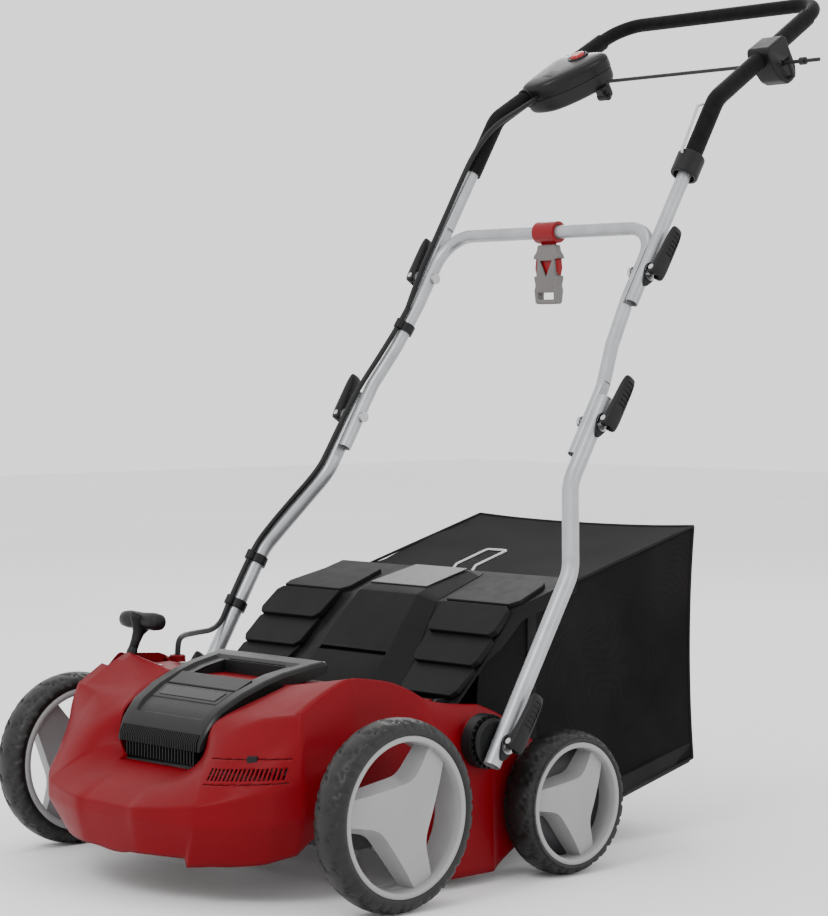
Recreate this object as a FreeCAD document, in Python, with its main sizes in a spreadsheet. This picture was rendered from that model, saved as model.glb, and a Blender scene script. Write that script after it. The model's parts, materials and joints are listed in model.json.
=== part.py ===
import FreeCAD, Part
import Sketcher
import math
import os
from FreeCAD import Placement, Rotation, Vector

# Electric lawn dethatcher.  +X is the operator's right, -Y the front, +Z up, z = 0 the ground.
# The sheet holds the driving sizes in millimetres and degrees.
SHEET_SIZES = {
    "front_axle_y": -359.24,       # front wheel centre, from the middle of the whole machine
    "wheelbase": 290.4,
    "front_wheel_radius": 105,
    "front_rim_radius": 87.5,
    "front_wheel_x": 287,       # middle of the tyre
    "front_wheel_width": 42,
    "rear_wheel_radius": 83.4,
    "rear_rim_radius": 70.5,
    "rear_wheel_x": 263.5,
    "rear_wheel_width": 45,
    "axle_radius": 6,
    "running_gap": 0.05,        # radial clearance of every turning fit
    "crank_forward": 28,        # crank pivot, ahead of the wheel centre
    "crank_height": 128,
    "depth_lever_x": -198,
    "rotor_back": 152,          # rotor centre, behind the front axle
    "rotor_height": 90,
    "blade_tip_radius": 82,
    "blade_thickness": 2,
    "blade_count": 20,
    "blade_pitch": 18,
    "rotor_shaft_radius": 10,
    "spacer_radius": 15,
    "bearing_radius": 20,
    "bearing_width": 10,
    "side_plate_x": 186,
    "motor_back": 40,
    "motor_height": 172,
    "motor_radius": 44,
    "motor_length": 148,
    "motor_shaft_radius": 6,
    "motor_pulley_radius": 14,
    "rotor_pulley_radius": 35,
    "pulley_x": 203,
    "belt_width": 8,
    "belt_thickness": 3,
    "housing_half_width": 216,
    "skirt_half_width": 243,
    "skirt_bottom": 12,
    "housing_bottom": 50,
    "housing_wall": 3,
    "deck_height": 229,
    "shoulder_height": 244,
    "flap_half_width": 207,
    "flap_hinge_back": 166,
    "flap_hinge_height": 196,
    "bag_half_width": 189,
    "bag_front": 312,
    "bag_back": 610,
    "bag_top": 386,
    "bag_wall": 3,
    "pivot_back": 177,
    "pivot_height": 163,
    "handle_slope": 58.4,
    "upper_slope": 31.3,
    "lower_tube_radius": 10,
    "upper_tube_radius": 8.5,
    "tube_wall": 1.5,
    "foot_x": 272,              # lower tube beside the toothed disc
    "lower_top_x": 214.5,       # lower tube beside the middle handle
    "middle_foot_x": 203,
    "middle_leg_x": 190,
    "upper_leg_x": 192.5,
    "lower_joint_reach": 417,   # along the slope from the pivot bolt
    "upper_joint_reach": 630,
    "cross_bar_reach": 696,
    "handle_bend_reach": 888,
    "top_length": 277,
    "top_half_width": 178,
    "grip_radius": 11.5,
    "clamp_bolt_radius": 4,
    "clamp_pin_radius": 3.5,
    "lever_length": 64,
    "lever_width": 24,
    "cable_radius": 3.5,
    "bail_radius": 2.5,
    "button_radius": 10.5,
    "disc_radius": 31,
    "disc_teeth": 24,
}

os.makedirs("parts", exist_ok=True)
doc = FreeCAD.newDocument("dethatcher")
sheet = doc.addObject("Spreadsheet::Sheet", "Sheet")
for row, (alias, number) in enumerate(SHEET_SIZES.items(), 1):
    sheet.set(f"A{row}", alias)
    sheet.set(f"B{row}", str(number))
    sheet.setAlias(f"B{row}", alias)
doc.recompute()


class Size(float):
    """A number that remembers the sheet formula it comes from."""

    def __new__(cls, number, text):
        made = super().__new__(cls, number)
        made.text = text
        return made

    def __neg__(self):
        return Size(-float(self), f"(-{self.text})")

    def __add__(self, other):
        return Size(float(self) + float(other), f"({self.text} + {formula(other)})")

    def __radd__(self, other):
        return Size(float(other) + float(self), f"({formula(other)} + {self.text})")

    def __sub__(self, other):
        return Size(float(self) - float(other), f"({self.text} - {formula(other)})")

    def __rsub__(self, other):
        return Size(float(other) - float(self), f"({formula(other)} - {self.text})")

    def __mul__(self, other):
        return Size(float(self) * float(other), f"({self.text} * {formula(other)})")

    def __rmul__(self, other):
        return Size(float(other) * float(self), f"({formula(other)} * {self.text})")

    def __truediv__(self, other):
        return Size(float(self) / float(other), f"({self.text} / {formula(other)})")


def formula(number):
    return number.text if isinstance(number, Size) else f"({float(number)!r})"


def cell(alias):
    return Size(float(sheet.get(alias)), "Sheet." + alias)


ALONG_X = Rotation(Vector(0, 1, 0), 90)
ALONG_Z = Rotation()
nodes = []


def bind(obj, path, number):
    """Set a property, and tie it to the sheet when the number comes from there."""
    if isinstance(number, Size):
        obj.setExpression(path, number.text)
    else:
        setattr(obj, path, number)


def place(obj, where, turn=ALONG_Z):
    obj.Placement = Placement(Vector(*[float(number) for number in where]), turn)
    for axis, number in zip("xyz", where):
        if isinstance(number, Size):
            obj.setExpression("Placement.Base." + axis, number.text)
    return obj


def node(label, obj):
    obj.Label = label
    nodes.append(obj)
    return obj


def cylinder(name, radius, length, where, turn=ALONG_X):
    obj = doc.addObject("Part::Cylinder", name)
    bind(obj, "Radius", radius)
    bind(obj, "Height", length)
    return place(obj, where, turn)


def box(name, lengths, low, turn=ALONG_Z):
    obj = doc.addObject("Part::Box", name)
    for side, number in zip(("Length", "Width", "Height"), lengths):
        bind(obj, side, number)
    return place(obj, low, turn)


def turned_box(name, lengths, low_x, centre, angle, offset):
    """A box turned about a line along X through centre, its low corner offset in its own frame."""
    turn = Rotation(Vector(1, 0, 0), angle)
    shift = turn * Vector(0, *offset)
    return box(name, lengths, (low_x, centre[0] + shift.y, centre[1] + shift.z), turn)


def fuse(name, *shapes):
    obj = doc.addObject("Part::MultiFuse", name)
    obj.Shapes = list(shapes)
    return obj


def cut(name, base, *tools):
    obj = doc.addObject("Part::Cut", name)
    obj.Base = base
    obj.Tool = tools[0] if len(tools) == 1 else fuse(name + "_tools", *tools)
    return obj


def group(name, *solids):
    obj = doc.addObject("Part::Compound", name)
    obj.Links = list(solids)
    return obj


def feature(name, shape):
    """A shape that neither a primitive nor a sketch can give, worked out from the sheet."""
    obj = doc.addObject("Part::Feature", name)
    obj.Shape = shape
    obj.Placement = Placement()
    return obj


def outline(body, plane_role, points):
    """A closed outline on one of the body's own planes, with each corner tied to its sizes."""
    plane = next(item for item in body.Origin.OriginFeatures if item.Role == plane_role)
    drawing = body.newObject("Sketcher::SketchObject", body.Name + "_outline")
    drawing.AttachmentSupport = [(plane, "")]
    drawing.MapMode = "FlatFace"
    count = len(points)
    corners = [Vector(float(across), float(up), 0) for across, up in points]
    for number in range(count):
        drawing.addGeometry(Part.LineSegment(corners[number], corners[(number + 1) % count]), False)
    for number in range(count):
        following = (number + 1) % count
        drawing.addConstraint(Sketcher.Constraint("Coincident", number, 2, following, 1))
    for number, corner in enumerate(points):
        for kind, length in zip(("DistanceX", "DistanceY"), corner):
            rule = drawing.addConstraint(Sketcher.Constraint(kind, -1, 1, number, 1, float(length)))
            if isinstance(length, Size):
                drawing.setExpression(f"Constraints[{rule}]", length.text)
    return drawing


def turned(name, points, where, turn=ALONG_Z):
    """A PartDesign body of revolution about its own X axis; points are (along, radius)."""
    body = doc.addObject("PartDesign::Body", name)
    drawing = outline(body, "XY_Plane", points)
    spin = body.newObject("PartDesign::Revolution", name + "_turned")
    spin.Profile = drawing
    spin.ReferenceAxis = (drawing, ["H_Axis"])
    spin.Angle = 360
    place(body, where, turn)
    return body


def plate(name, plane_role, points, thickness, where, turn=ALONG_Z):
    """A PartDesign pad of an outline, its thickness shared by both sides of the plane."""
    body = doc.addObject("PartDesign::Body", name)
    drawing = outline(body, plane_role, points)
    pad = body.newObject("PartDesign::Pad", name + "_pad")
    pad.Profile = drawing
    pad.Midplane = True
    bind(pad, "Length", thickness)
    place(body, where, turn)
    return body


# --- shared places -------------------------------------------------------------------
Y = cell("front_axle_y")
GAP = cell("running_gap")
WALL = cell("housing_wall")
AXLE = cell("axle_radius")
FRONT_AXLE = (Y, cell("front_wheel_radius"))
REAR_AXLE = (Y + cell("wheelbase"), cell("rear_wheel_radius"))
CRANK = (Y - cell("crank_forward"), cell("crank_height"))
ROTOR = (Y + cell("rotor_back"), cell("rotor_height"))
MOTOR = (Y + cell("motor_back"), cell("motor_height"))
PIVOT = (Y + cell("pivot_back"), cell("pivot_height"))
FLAP_HINGE = (Y + cell("flap_hinge_back"), cell("flap_hinge_height"))
SIDES = {"left": -1, "right": 1}

SLOPE = math.radians(cell("handle_slope"))
UPPER_SLOPE = math.radians(cell("upper_slope"))
UP_HANDLE = Vector(0, math.cos(SLOPE), math.sin(SLOPE))
OFF_HANDLE = Vector(0, -math.sin(SLOPE), math.cos(SLOPE))
UP_TOP = Vector(0, math.cos(UPPER_SLOPE), math.sin(UPPER_SLOPE))
OFF_TOP = Vector(0, -math.sin(UPPER_SLOPE), math.cos(UPPER_SLOPE))


def on_handle(across, reach, off=0.0):
    """A point on the sloping handle: reach is measured from the pivot bolt."""
    start = Vector(across, float(PIVOT[0]), float(PIVOT[1]))
    return start + UP_HANDLE * float(reach) + OFF_HANDLE * off


BEND = on_handle(0, cell("handle_bend_reach"))


def on_top(across, reach, off=0.0):
    """A point on the flatter top of the handle, measured from the bend."""
    return Vector(across, 0, 0) + BEND + UP_TOP * reach + OFF_TOP * off


def mirrored(shape):
    return shape.mirror(Vector(), Vector(1, 0, 0))


def rounded_path(points, bend_radius):
    """A wire through the points with an arc of the given radius at each inner corner."""
    edges = []
    start = points[0]
    for before, corner, after in zip(points, points[1:], points[2:]):
        back = (before - corner).normalize()
        ahead = (after - corner).normalize()
        half = back.getAngle(ahead) / 2
        if half > math.radians(89.9):
            continue
        trim = bend_radius / math.tan(half)
        arc_start = corner + back * trim
        arc_end = corner + ahead * trim
        middle = corner + (back + ahead).normalize() * (bend_radius / math.sin(half) - bend_radius)
        edges.append(Part.makeLine(start, arc_start))
        edges.append(Part.Arc(arc_start, middle, arc_end).toShape())
        start = arc_end
    edges.append(Part.makeLine(start, points[-1]))
    return Part.Wire(edges)


def rod(points, radius, bend_radius):
    """A solid round bar along a rounded path."""
    path = rounded_path(points, bend_radius)
    circle = Part.Wire(Part.makeCircle(radius, points[0], points[1] - points[0]))
    return path.makePipeShell([circle], True, False)


def cylinder_between(start, end, radius):
    along = end - start
    return Part.makeCylinder(radius, along.Length, start, along)


def half_space(side, plane_x, from_reach, to_reach):
    """The block beyond a plane of constant X, beside one stretch of the handle."""
    width = 40.0
    block = Part.makeBox(to_reach - from_reach, width, 2 * width)
    frame = FreeCAD.Matrix()
    frame.A11, frame.A21, frame.A31 = 0, UP_HANDLE.y, UP_HANDLE.z
    frame.A12, frame.A22, frame.A32 = side, 0, 0
    frame.A13, frame.A23, frame.A33 = 0, side * UP_HANDLE.z, -side * UP_HANDLE.y
    corner = on_handle(plane_x, from_reach) - Vector(frame.A13, frame.A23, frame.A33) * width
    frame.A14, frame.A24, frame.A34 = corner.x, corner.y, corner.z
    block.Placement = Placement(frame)
    return block


def pressed_tube(points, radius, bend_radius, presses):
    """A tube along a path, pressed flat where a press (side, plane, from, to) lies beside it."""
    wall = float(cell("tube_wall"))
    skin = rod(points, radius, bend_radius)
    bore = rod(points, radius - wall, bend_radius)
    for side, plane_x, from_reach, to_reach in presses:
        skin = skin.cut(half_space(side, plane_x, from_reach, to_reach))
        bore = bore.cut(half_space(side, plane_x - side * wall, from_reach - wall, to_reach + wall))
    return skin.cut(bore)


def bolt_hole(shape, reach):
    """The clearance hole of a clamp bolt, right through the handle along X."""
    radius = cell("clamp_bolt_radius") + GAP
    low = on_handle(-400, reach)
    return shape.cut(Part.makeCylinder(float(radius), 800, low, Vector(1, 0, 0)))


# --- wheels and axles ----------------------------------------------------------------
def tyre(name, radius, rim_radius, width, where):
    half = width / 2
    shoulder = radius - 9
    crown = radius - 2
    points = [(-half, rim_radius), (half, rim_radius), (half, shoulder), (half - 7, crown)]
    points += [(half - 14, radius), (14 - half, radius), (7 - half, crown), (-half, shoulder)]
    return node(name, turned(name, points, where))


def wheel(label, side, rim_radius, radius, width, across, height_y):
    where = (side * across, height_y[0], height_y[1])
    tyre(label + "_tyre", radius, rim_radius, width, where)
    outer = width / 2 - 1
    seat = AXLE + GAP
    profile = [(-outer, seat), (outer - 6, seat), (outer - 6, rim_radius - 12)]
    profile += [(outer, rim_radius - 9), (outer, rim_radius), (-outer, rim_radius)]
    profile += [(-outer, rim_radius - 3), (outer - 18, rim_radius - 16), (outer - 18, 20)]
    profile += [(-outer, 16)]
    dish = turned(label + "_dish", profile, where, Rotation(Vector(0, 0, 1), 0 if side > 0 else 180))
    windows = []
    for number in range(3):
        windows.append(wheel_window(f"{label}_window_{number}", side, rim_radius, outer, where, number))
    return node(label + "_rim", cut(label + "_rim", dish, *windows))


def wheel_window(name, side, rim_radius, outer, where, number):
    """The hollow between two spokes: an outline on the wheel's face, sunk 7 mm."""
    reach = float(rim_radius) - 13.5
    half_angle = math.radians(42)
    low = 27.0
    points = [(0, low), (reach * math.sin(half_angle), reach * math.cos(half_angle))]
    points += [(reach * math.sin(half_angle / 2), reach * math.cos(half_angle / 2)), (0, reach)]
    points += [(-across, up) for across, up in reversed(points[1:3])]
    depth = 7.0
    face = float(outer) - 6
    middle = (where[0] + side * (face - depth / 2 + 1), where[1], where[2])
    turn = Rotation(Vector(1, 0, 0), 120 * number + 15)
    return plate(name, "YZ_Plane", points, depth + 2, middle, turn)


for side_name, sign in SIDES.items():
    wheel("front_wheel_" + side_name, sign, cell("front_rim_radius"), cell("front_wheel_radius"),
          cell("front_wheel_width"), cell("front_wheel_x"), FRONT_AXLE)
    wheel("rear_wheel_" + side_name, sign, cell("rear_rim_radius"), cell("rear_wheel_radius"),
          cell("rear_wheel_width"), cell("rear_wheel_x"), REAR_AXLE)

REAR_AXLE_END = cell("rear_wheel_x") + cell("rear_wheel_width") / 2 - 6
REAR_AXLE_START = cell("side_plate_x") - 8
rear_stubs = [cylinder("rear_stub_" + side_name, AXLE, REAR_AXLE_END - REAR_AXLE_START,
                       (REAR_AXLE_START if sign > 0 else -REAR_AXLE_END, *REAR_AXLE))
              for side_name, sign in SIDES.items()]
node("rear_axle_stubs", group("rear_axle_stubs", *rear_stubs))


# --- front axle crank and depth lever ------------------------------------------------
ARM_INNER = cell("skirt_half_width") - 20
ARM_THICKNESS = 12
CRANK_END = ARM_INNER + ARM_THICKNESS
STUB_END = cell("front_wheel_x") + cell("front_wheel_width") / 2 - 6
crank_parts = [cylinder("crank_bar", AXLE, CRANK_END * 2, (-CRANK_END, *CRANK))]
ARM_REACH = math.hypot(FRONT_AXLE[0] - CRANK[0], FRONT_AXLE[1] - CRANK[1])
ARM_TILT = math.degrees(math.atan2(FRONT_AXLE[1] - CRANK[1], FRONT_AXLE[0] - CRANK[0]))
for side_name, sign in SIDES.items():
    low_x = ARM_INNER if sign > 0 else -CRANK_END
    crank_parts.append(turned_box("crank_arm_" + side_name, (ARM_THICKNESS, ARM_REACH, 20),
                                  low_x, CRANK, ARM_TILT, (0, -10)))
    for end_name, centre in (("pivot", CRANK), ("wheel", FRONT_AXLE)):
        crank_parts.append(cylinder(f"crank_{end_name}_boss_{side_name}", 11, ARM_THICKNESS,
                                    (low_x, *centre)))
    stub_low = ARM_INNER if sign > 0 else -STUB_END
    crank_parts.append(cylinder("wheel_stub_" + side_name, AXLE, STUB_END - ARM_INNER,
                                (stub_low, *FRONT_AXLE)))
node("front_axle_crank", fuse("front_axle_crank", *crank_parts))

LEVER_X = cell("depth_lever_x")
lever_foot = Vector(float(LEVER_X), float(CRANK[0]), float(CRANK[1]))
LEVER_TOP = lever_foot + Vector(0, 60, 138)
lever_clamp = cylinder("lever_clamp", 12, 12, (LEVER_X - 6, *CRANK))
lever_bore = cylinder("lever_bore", AXLE + GAP, 14, (LEVER_X - 7, *CRANK))
lever_stem = feature("lever_stem", rod([lever_foot, LEVER_TOP], 5, 1))
node("depth_lever", cut("depth_lever", fuse("lever_whole", lever_clamp, lever_stem), lever_bore))

lever_along = (LEVER_TOP - lever_foot).normalize()
grip_middle = LEVER_TOP + lever_along * 12
grip_bar = Part.makeCylinder(10, 68, grip_middle - Vector(34, 0, 0), Vector(1, 0, 0))
grip_neck = Part.makeCone(6, 11, 20, LEVER_TOP - lever_along * 8, lever_along)
grip_hole = Part.makeCylinder(5.02, 8.1, LEVER_TOP - lever_along * 8.05, lever_along)
node("depth_lever_grip", feature("depth_lever_grip", grip_bar.fuse(grip_neck).cut(grip_hole)))


# --- rotor ---------------------------------------------------------------------------
SHAFT = cell("rotor_shaft_radius")
SIDE_PLATE = cell("side_plate_x")
PULLEY_X = cell("pulley_x")
BELT_WIDTH = cell("belt_width")
SHAFT_LEFT = SIDE_PLATE + 10
SHAFT_RIGHT = PULLEY_X + BELT_WIDTH / 2 + 4
node("rotor_shaft", cylinder("rotor_shaft", SHAFT, SHAFT_LEFT + SHAFT_RIGHT, (-SHAFT_LEFT, *ROTOR)))

TIP = cell("blade_tip_radius")
BLADE_COUNT = int(cell("blade_count"))
PITCH = float(cell("blade_pitch"))
blade_points = [(-10, TIP - 4), (-3, TIP), (13, 24), (15, 0), (13, -24)]
blade_points += [(10, 4 - TIP), (3, -TIP), (-13, -24), (-15, 0), (-13, 24)]
blade_plate = plate("blade_plate", "YZ_Plane", blade_points, cell("blade_thickness"), (0, 0, 0))
blade_hole = cylinder("blade_hole", SHAFT, 8, (-4, 0, 0))
blade = cut("blade", blade_plate, blade_hole)
spacer_ring = cylinder("spacer_ring", cell("spacer_radius"), cell("blade_pitch") - 2.2, (0, 0, 0))
spacer_bore = cylinder("spacer_bore", SHAFT, cell("blade_pitch"), (-1, 0, 0))
spacer = cut("spacer", spacer_ring, spacer_bore)
doc.recompute()
blades = []
spacers = []
for number in range(BLADE_COUNT):
    across = (number - (BLADE_COUNT - 1) / 2) * PITCH
    copy = blade.Shape.copy()
    copy.Placement = Placement(Vector(across, *ROTOR), Rotation(Vector(1, 0, 0), 27 * number))
    blades.append(copy)
    if number + 1 < BLADE_COUNT:
        copy = spacer.Shape.copy()
        copy.Placement = Placement(Vector(across + 1.1, *ROTOR), Rotation())
        spacers.append(copy)
node("rotor_blades", feature("rotor_blades", Part.makeCompound(blades)))
node("rotor_spacers", feature("rotor_spacers", Part.makeCompound(spacers)))


def pulley(label, radius, shaft_radius, centre):
    half = BELT_WIDTH / 2
    points = [(-half - 2, shaft_radius), (half + 2, shaft_radius), (half + 2, radius + 3)]
    points += [(half + 1, radius + 3), (half + 0.5, radius), (-half - 0.5, radius)]
    points += [(-half - 1, radius + 3), (-half - 2, radius + 3)]
    return node(label, turned(label, points, (PULLEY_X, *centre)))


pulley("rotor_pulley", cell("rotor_pulley_radius"), SHAFT, ROTOR)
pulley("motor_pulley", cell("motor_pulley_radius"), cell("motor_shaft_radius"), MOTOR)


def bearing(name, sign):
    half = cell("bearing_width") / 2
    points = [(-half, SHAFT + GAP), (half, SHAFT + GAP), (half, cell("bearing_radius"))]
    points += [(-half, cell("bearing_radius"))]
    return turned(name, points, (SIDE_PLATE * sign, *ROTOR))


rotor_bearings = [bearing("rotor_bearing_" + side_name, sign) for side_name, sign in SIDES.items()]
node("rotor_bearings", group("rotor_bearings", *rotor_bearings))


# --- motor and belt ------------------------------------------------------------------
MOTOR_SHAFT = cell("motor_shaft_radius")
MOTOR_RADIUS = cell("motor_radius")
MOTOR_LENGTH = cell("motor_length")
CAN_LEFT = -12
motor_points = [(0, MOTOR_SHAFT + GAP), (6, MOTOR_SHAFT + GAP), (6, MOTOR_RADIUS - 4)]
motor_points += [(MOTOR_LENGTH - 6, MOTOR_RADIUS - 4), (MOTOR_LENGTH - 6, MOTOR_SHAFT + GAP)]
motor_points += [(MOTOR_LENGTH, MOTOR_SHAFT + GAP), (MOTOR_LENGTH, MOTOR_RADIUS - 3)]
motor_points += [(MOTOR_LENGTH - 3, MOTOR_RADIUS), (3, MOTOR_RADIUS), (0, MOTOR_RADIUS - 3)]
node("motor_case", turned("motor_case", motor_points, (CAN_LEFT, *MOTOR)))
armature_points = [(-6, 0), (SHAFT_RIGHT - CAN_LEFT, 0), (SHAFT_RIGHT - CAN_LEFT, MOTOR_SHAFT)]
armature_points += [(MOTOR_LENGTH - 26, MOTOR_SHAFT), (MOTOR_LENGTH - 26, MOTOR_RADIUS - 9)]
armature_points += [(44, MOTOR_RADIUS - 9), (44, MOTOR_SHAFT), (-6, MOTOR_SHAFT)]
node("motor_armature", turned("motor_armature", armature_points, (CAN_LEFT, *MOTOR)))

fan_hub = cylinder("fan_hub", 14, 14, (CAN_LEFT + 20, *MOTOR))
fan_bore = cylinder("fan_bore", MOTOR_SHAFT, 16, (CAN_LEFT + 19, *MOTOR))
fan_blades = []
for number in range(7):
    fan_blades.append(turned_box(f"fan_vane_{number}", (12, 24, 1.6), CAN_LEFT + 21, MOTOR,
                                 number * 360 / 7, (12, -0.8)))
node("motor_fan", cut("motor_fan", fuse("fan_whole", fan_hub, *fan_blades), fan_bore))


def belt_loop(growth):
    """The space inside the belt's path, widened all round by growth."""
    big = float(cell("rotor_pulley_radius")) + growth
    small = float(cell("motor_pulley_radius")) + growth
    low_x = float(PULLEY_X - BELT_WIDTH / 2)
    start = Vector(low_x, *ROTOR)
    end = Vector(low_x, *MOTOR)
    along = (end - start).normalize()
    across = Vector(0, -along.z, along.y)
    tilt = math.acos((big - small) / end.distanceToPoint(start))
    corners = []
    for sign in (1, -1):
        normal = along * math.cos(tilt) + across * (sign * math.sin(tilt))
        corners.append((start + normal * big, end + normal * small))
    wire = Part.makePolygon([corners[0][0], corners[0][1], corners[1][1], corners[1][0], corners[0][0]])
    band = Part.Face(wire).extrude(Vector(float(BELT_WIDTH), 0, 0))
    for centre, radius in ((start, big), (end, small)):
        band = band.fuse(Part.makeCylinder(radius, float(BELT_WIDTH), centre, Vector(1, 0, 0)))
    return band


drive_belt = belt_loop(0.3 + float(cell("belt_thickness"))).cut(belt_loop(0.3))
node("drive_belt", feature("drive_belt", drive_belt))


# --- inner frame ---------------------------------------------------------------------
frame_points = [(-12, 56), (20, 50), (60, 50), (128, 60), (176, 60), (240, 36), (304, 70)]
frame_points += [(304, 100), (240, 120), (176, 160), (174, 206), (158, 206), (140, 180), (96, 120)]
frame_points += [(60, 118), (-12, 76)]
side_plates = [plate("side_plate_" + side_name, "YZ_Plane", frame_points, 4, (SIDE_PLATE * sign, Y, 0))
               for side_name, sign in SIDES.items()]
PLATE_GAP = SIDE_PLATE * 2
front_beam = box("front_beam", (PLATE_GAP, 6, 16), (-SIDE_PLATE, Y - 10, 58))
rear_beam = box("rear_beam", (PLATE_GAP, 10, 14), (-SIDE_PLATE, Y + 243, 40))
motor_plate = plate("motor_plate", "YZ_Plane",
                    [(-10, 58), (50, 58), (58, 130), (84, 152), (84, 174), (-10, 174)], 4,
                    (CAN_LEFT + MOTOR_LENGTH + 2, Y, 0))
bearing_seats = [cylinder("bearing_seat_" + side_name, cell("bearing_radius") + 5,
                          cell("bearing_width"), (SIDE_PLATE * sign - 5, *ROTOR))
                 for side_name, sign in SIDES.items()]
axle_seats = [cylinder("axle_seat_" + side_name, AXLE + 5, 20, (SIDE_PLATE * sign - 10, *REAR_AXLE))
              for side_name, sign in SIDES.items()]
frame_whole = fuse("frame_whole", *side_plates, front_beam, rear_beam, motor_plate,
                   *bearing_seats, *axle_seats)
frame_holes = [cylinder("bearing_hole_through", cell("bearing_radius"), PLATE_GAP + 60,
                        (-SIDE_PLATE - 30, *ROTOR)),
               cylinder("motor_shaft_hole", MOTOR_SHAFT + 3, SIDE_PLATE, (100, *MOTOR)),
               cylinder("axle_hole_through", AXLE, PLATE_GAP + 60, (-SIDE_PLATE - 30, *REAR_AXLE)),
               cylinder("hinge_hole_through", 3, PLATE_GAP + 60, (-SIDE_PLATE - 30, *FLAP_HINGE))]
node("inner_frame", cut("inner_frame", frame_whole, *frame_holes))


# --- housing -------------------------------------------------------------------------
CORD_X = -200
CORD_BACK = 92
# Each station across the machine: distance behind the front axle, then the half-width and
# height of the lower edge, side crease, shoulder, inner shoulder and deck edge.
WIDE = float(cell("housing_half_width"))
SKIRT = float(cell("skirt_half_width"))
LOW = float(cell("housing_bottom"))
SKIRT_LOW = float(cell("skirt_bottom"))
DECK = float(cell("deck_height"))
TOP = float(cell("shoulder_height"))
STATIONS = [
    (-170, (48, LOW), (50, 100), (46, 110), (38, 112), (20, 113)),
    (-152, (128, LOW), (132, 115), (122, 130), (100, 126), (50, 118)),
    (-118, (168, LOW), (171, 135), (136, 146), (106, 144), (80, 130)),
    (-90, (192, LOW), (196, 138), (160, 153), (112, 164), (82, 140)),
    (-84, (196, LOW), (200, 139), (168, 160), (118, 172), (80, 156)),
    (-60, (207, LOW), (213, 141), (200, 206), (150, 204), (84, 194)),
    (12, (213, LOW), (WIDE, 185), (206, TOP), (160, TOP - 4), (100, DECK)),
    (75, (214, LOW), (WIDE, 185), (207, 234), (187, 233), (140, 232)),
    (100, (226, 38), (222, 175), (212, 222), (200, 220), (140, 218)),
    (115, (SKIRT, SKIRT_LOW), (236, 165), (214, 214), (206, 212), (140, 211)),
    (140, (SKIRT, SKIRT_LOW), (238, 162), (214, 205), (206, 203), (140, 202)),
    (198, (SKIRT, SKIRT_LOW), (238, 160), (214, 200), (206, 198), (140, 197)),
    (205, (236, 16), (235, 158), (214, 199), (206, 197), (140, 196)),
    (240, (234, 34), (234, 148), (212, 186), (206, 184), (140, 183)),
    (300, (232, 64), (232, 118), (210, 146), (206, 144), (140, 143)),
]


def station_wire(back, corners, inset, drop):
    """The closed outline across one station, narrowed by inset and lowered by drop."""
    right = [(x - inset, z - (drop if number == 0 else inset)) for number, (x, z) in enumerate(corners)]
    around = right + [(-x, z) for x, z in reversed(right)]
    points = [Vector(x, float(Y) + back, z) for x, z in around]
    return Part.makePolygon(points + points[:1])


outer_body = Part.makeLoft([station_wire(back, corners, 0, 0) for back, *corners in STATIONS], True, True)
inner_wires = [station_wire(back + (3.2 if back < 0 else 0), corners, float(WALL), 60)
               for back, *corners in STATIONS]
inner_wires.append(station_wire(330, STATIONS[-1][1:], float(WALL), 60))
inner_body = Part.makeLoft(inner_wires, True, True)
shell = outer_body.cut(inner_body)
for sign in SIDES.values():
    boss_low = 214 if sign > 0 else -240
    boss = Part.makeCylinder(24, 26, Vector(boss_low, *PIVOT), Vector(1, 0, 0))
    shell = shell.fuse(boss)
    head_low = 212 if sign > 0 else -227
    shell = shell.cut(Part.makeCylinder(7.6, 15, Vector(head_low, *PIVOT), Vector(1, 0, 0)))
    bolt_low = 210 if sign > 0 else -250
    shell = shell.cut(Part.makeCylinder(4.05, 40, Vector(bolt_low, *PIVOT), Vector(1, 0, 0)))
shell = shell.cut(Part.makeBox(380, 88, 400, Vector(-190, float(Y) + 12, 0)))
shell = shell.cut(Part.makeBox(416, 230, 400, Vector(-208, float(Y) + 100, 0)))
shell = shell.fuse(Part.makeCylinder(10, 16, Vector(CORD_X, float(Y) + CORD_BACK, 215)))
housing_shell = feature("housing_shell", shell)
crank_hole = cylinder("crank_hole", AXLE + GAP, WIDE * 2 + 40, (-WIDE - 20, *CRANK))
lever_slot = box("lever_slot", (13, 96, 80), (LEVER_X - 6.5, Y - 24, 190))
finger_recess = box("finger_recess", (132, 42, 19), (-66, Y - 100, 142))
rear_axle_hole = cylinder("rear_axle_hole", AXLE + 1, WIDE * 2 + 60, (-WIDE - 30, *REAR_AXLE))
VENT_COUNT = 18
vent_start = Vector(118, float(Y) - 123, 137)
vent_step = Vector(84, 47, 5) / (VENT_COUNT - 1)
vent_turn = Rotation(Vector(0, 0, 1), math.degrees(math.atan2(vent_step.y, vent_step.x)))
vents = []
for number in range(VENT_COUNT):
    slot = Part.makeBox(2.4, 34, 12, Vector(0, -8, 0))
    slot.Placement = Placement(vent_start + vent_step * number, vent_turn)
    vents.append(feature(f"vent_{number}", slot))
cord_hole = cylinder("cord_hole", cell("cable_radius") + GAP, 30, (CORD_X, Y + CORD_BACK, 205), ALONG_Z)
node("housing", cut("housing", housing_shell, crank_hole, lever_slot, finger_recess, rear_axle_hole,
                    cord_hole, *vents))


# --- motor cover with its carrying handle --------------------------------------------
COVER_STATIONS = [
    (-94, 73, 160, 171),
    (-86, 75, 160, 180),
    (-81, 76, 167, 190),
    (-68, 79, 187, 212),
    (-60, 80, 194.4, 215),
    (-10, 86, 219.6, 233),
    (12, 88, 230, 237.5),
    (50, 92, 230.5, 243),
    (74, 95, 231, 247),
]


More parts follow.
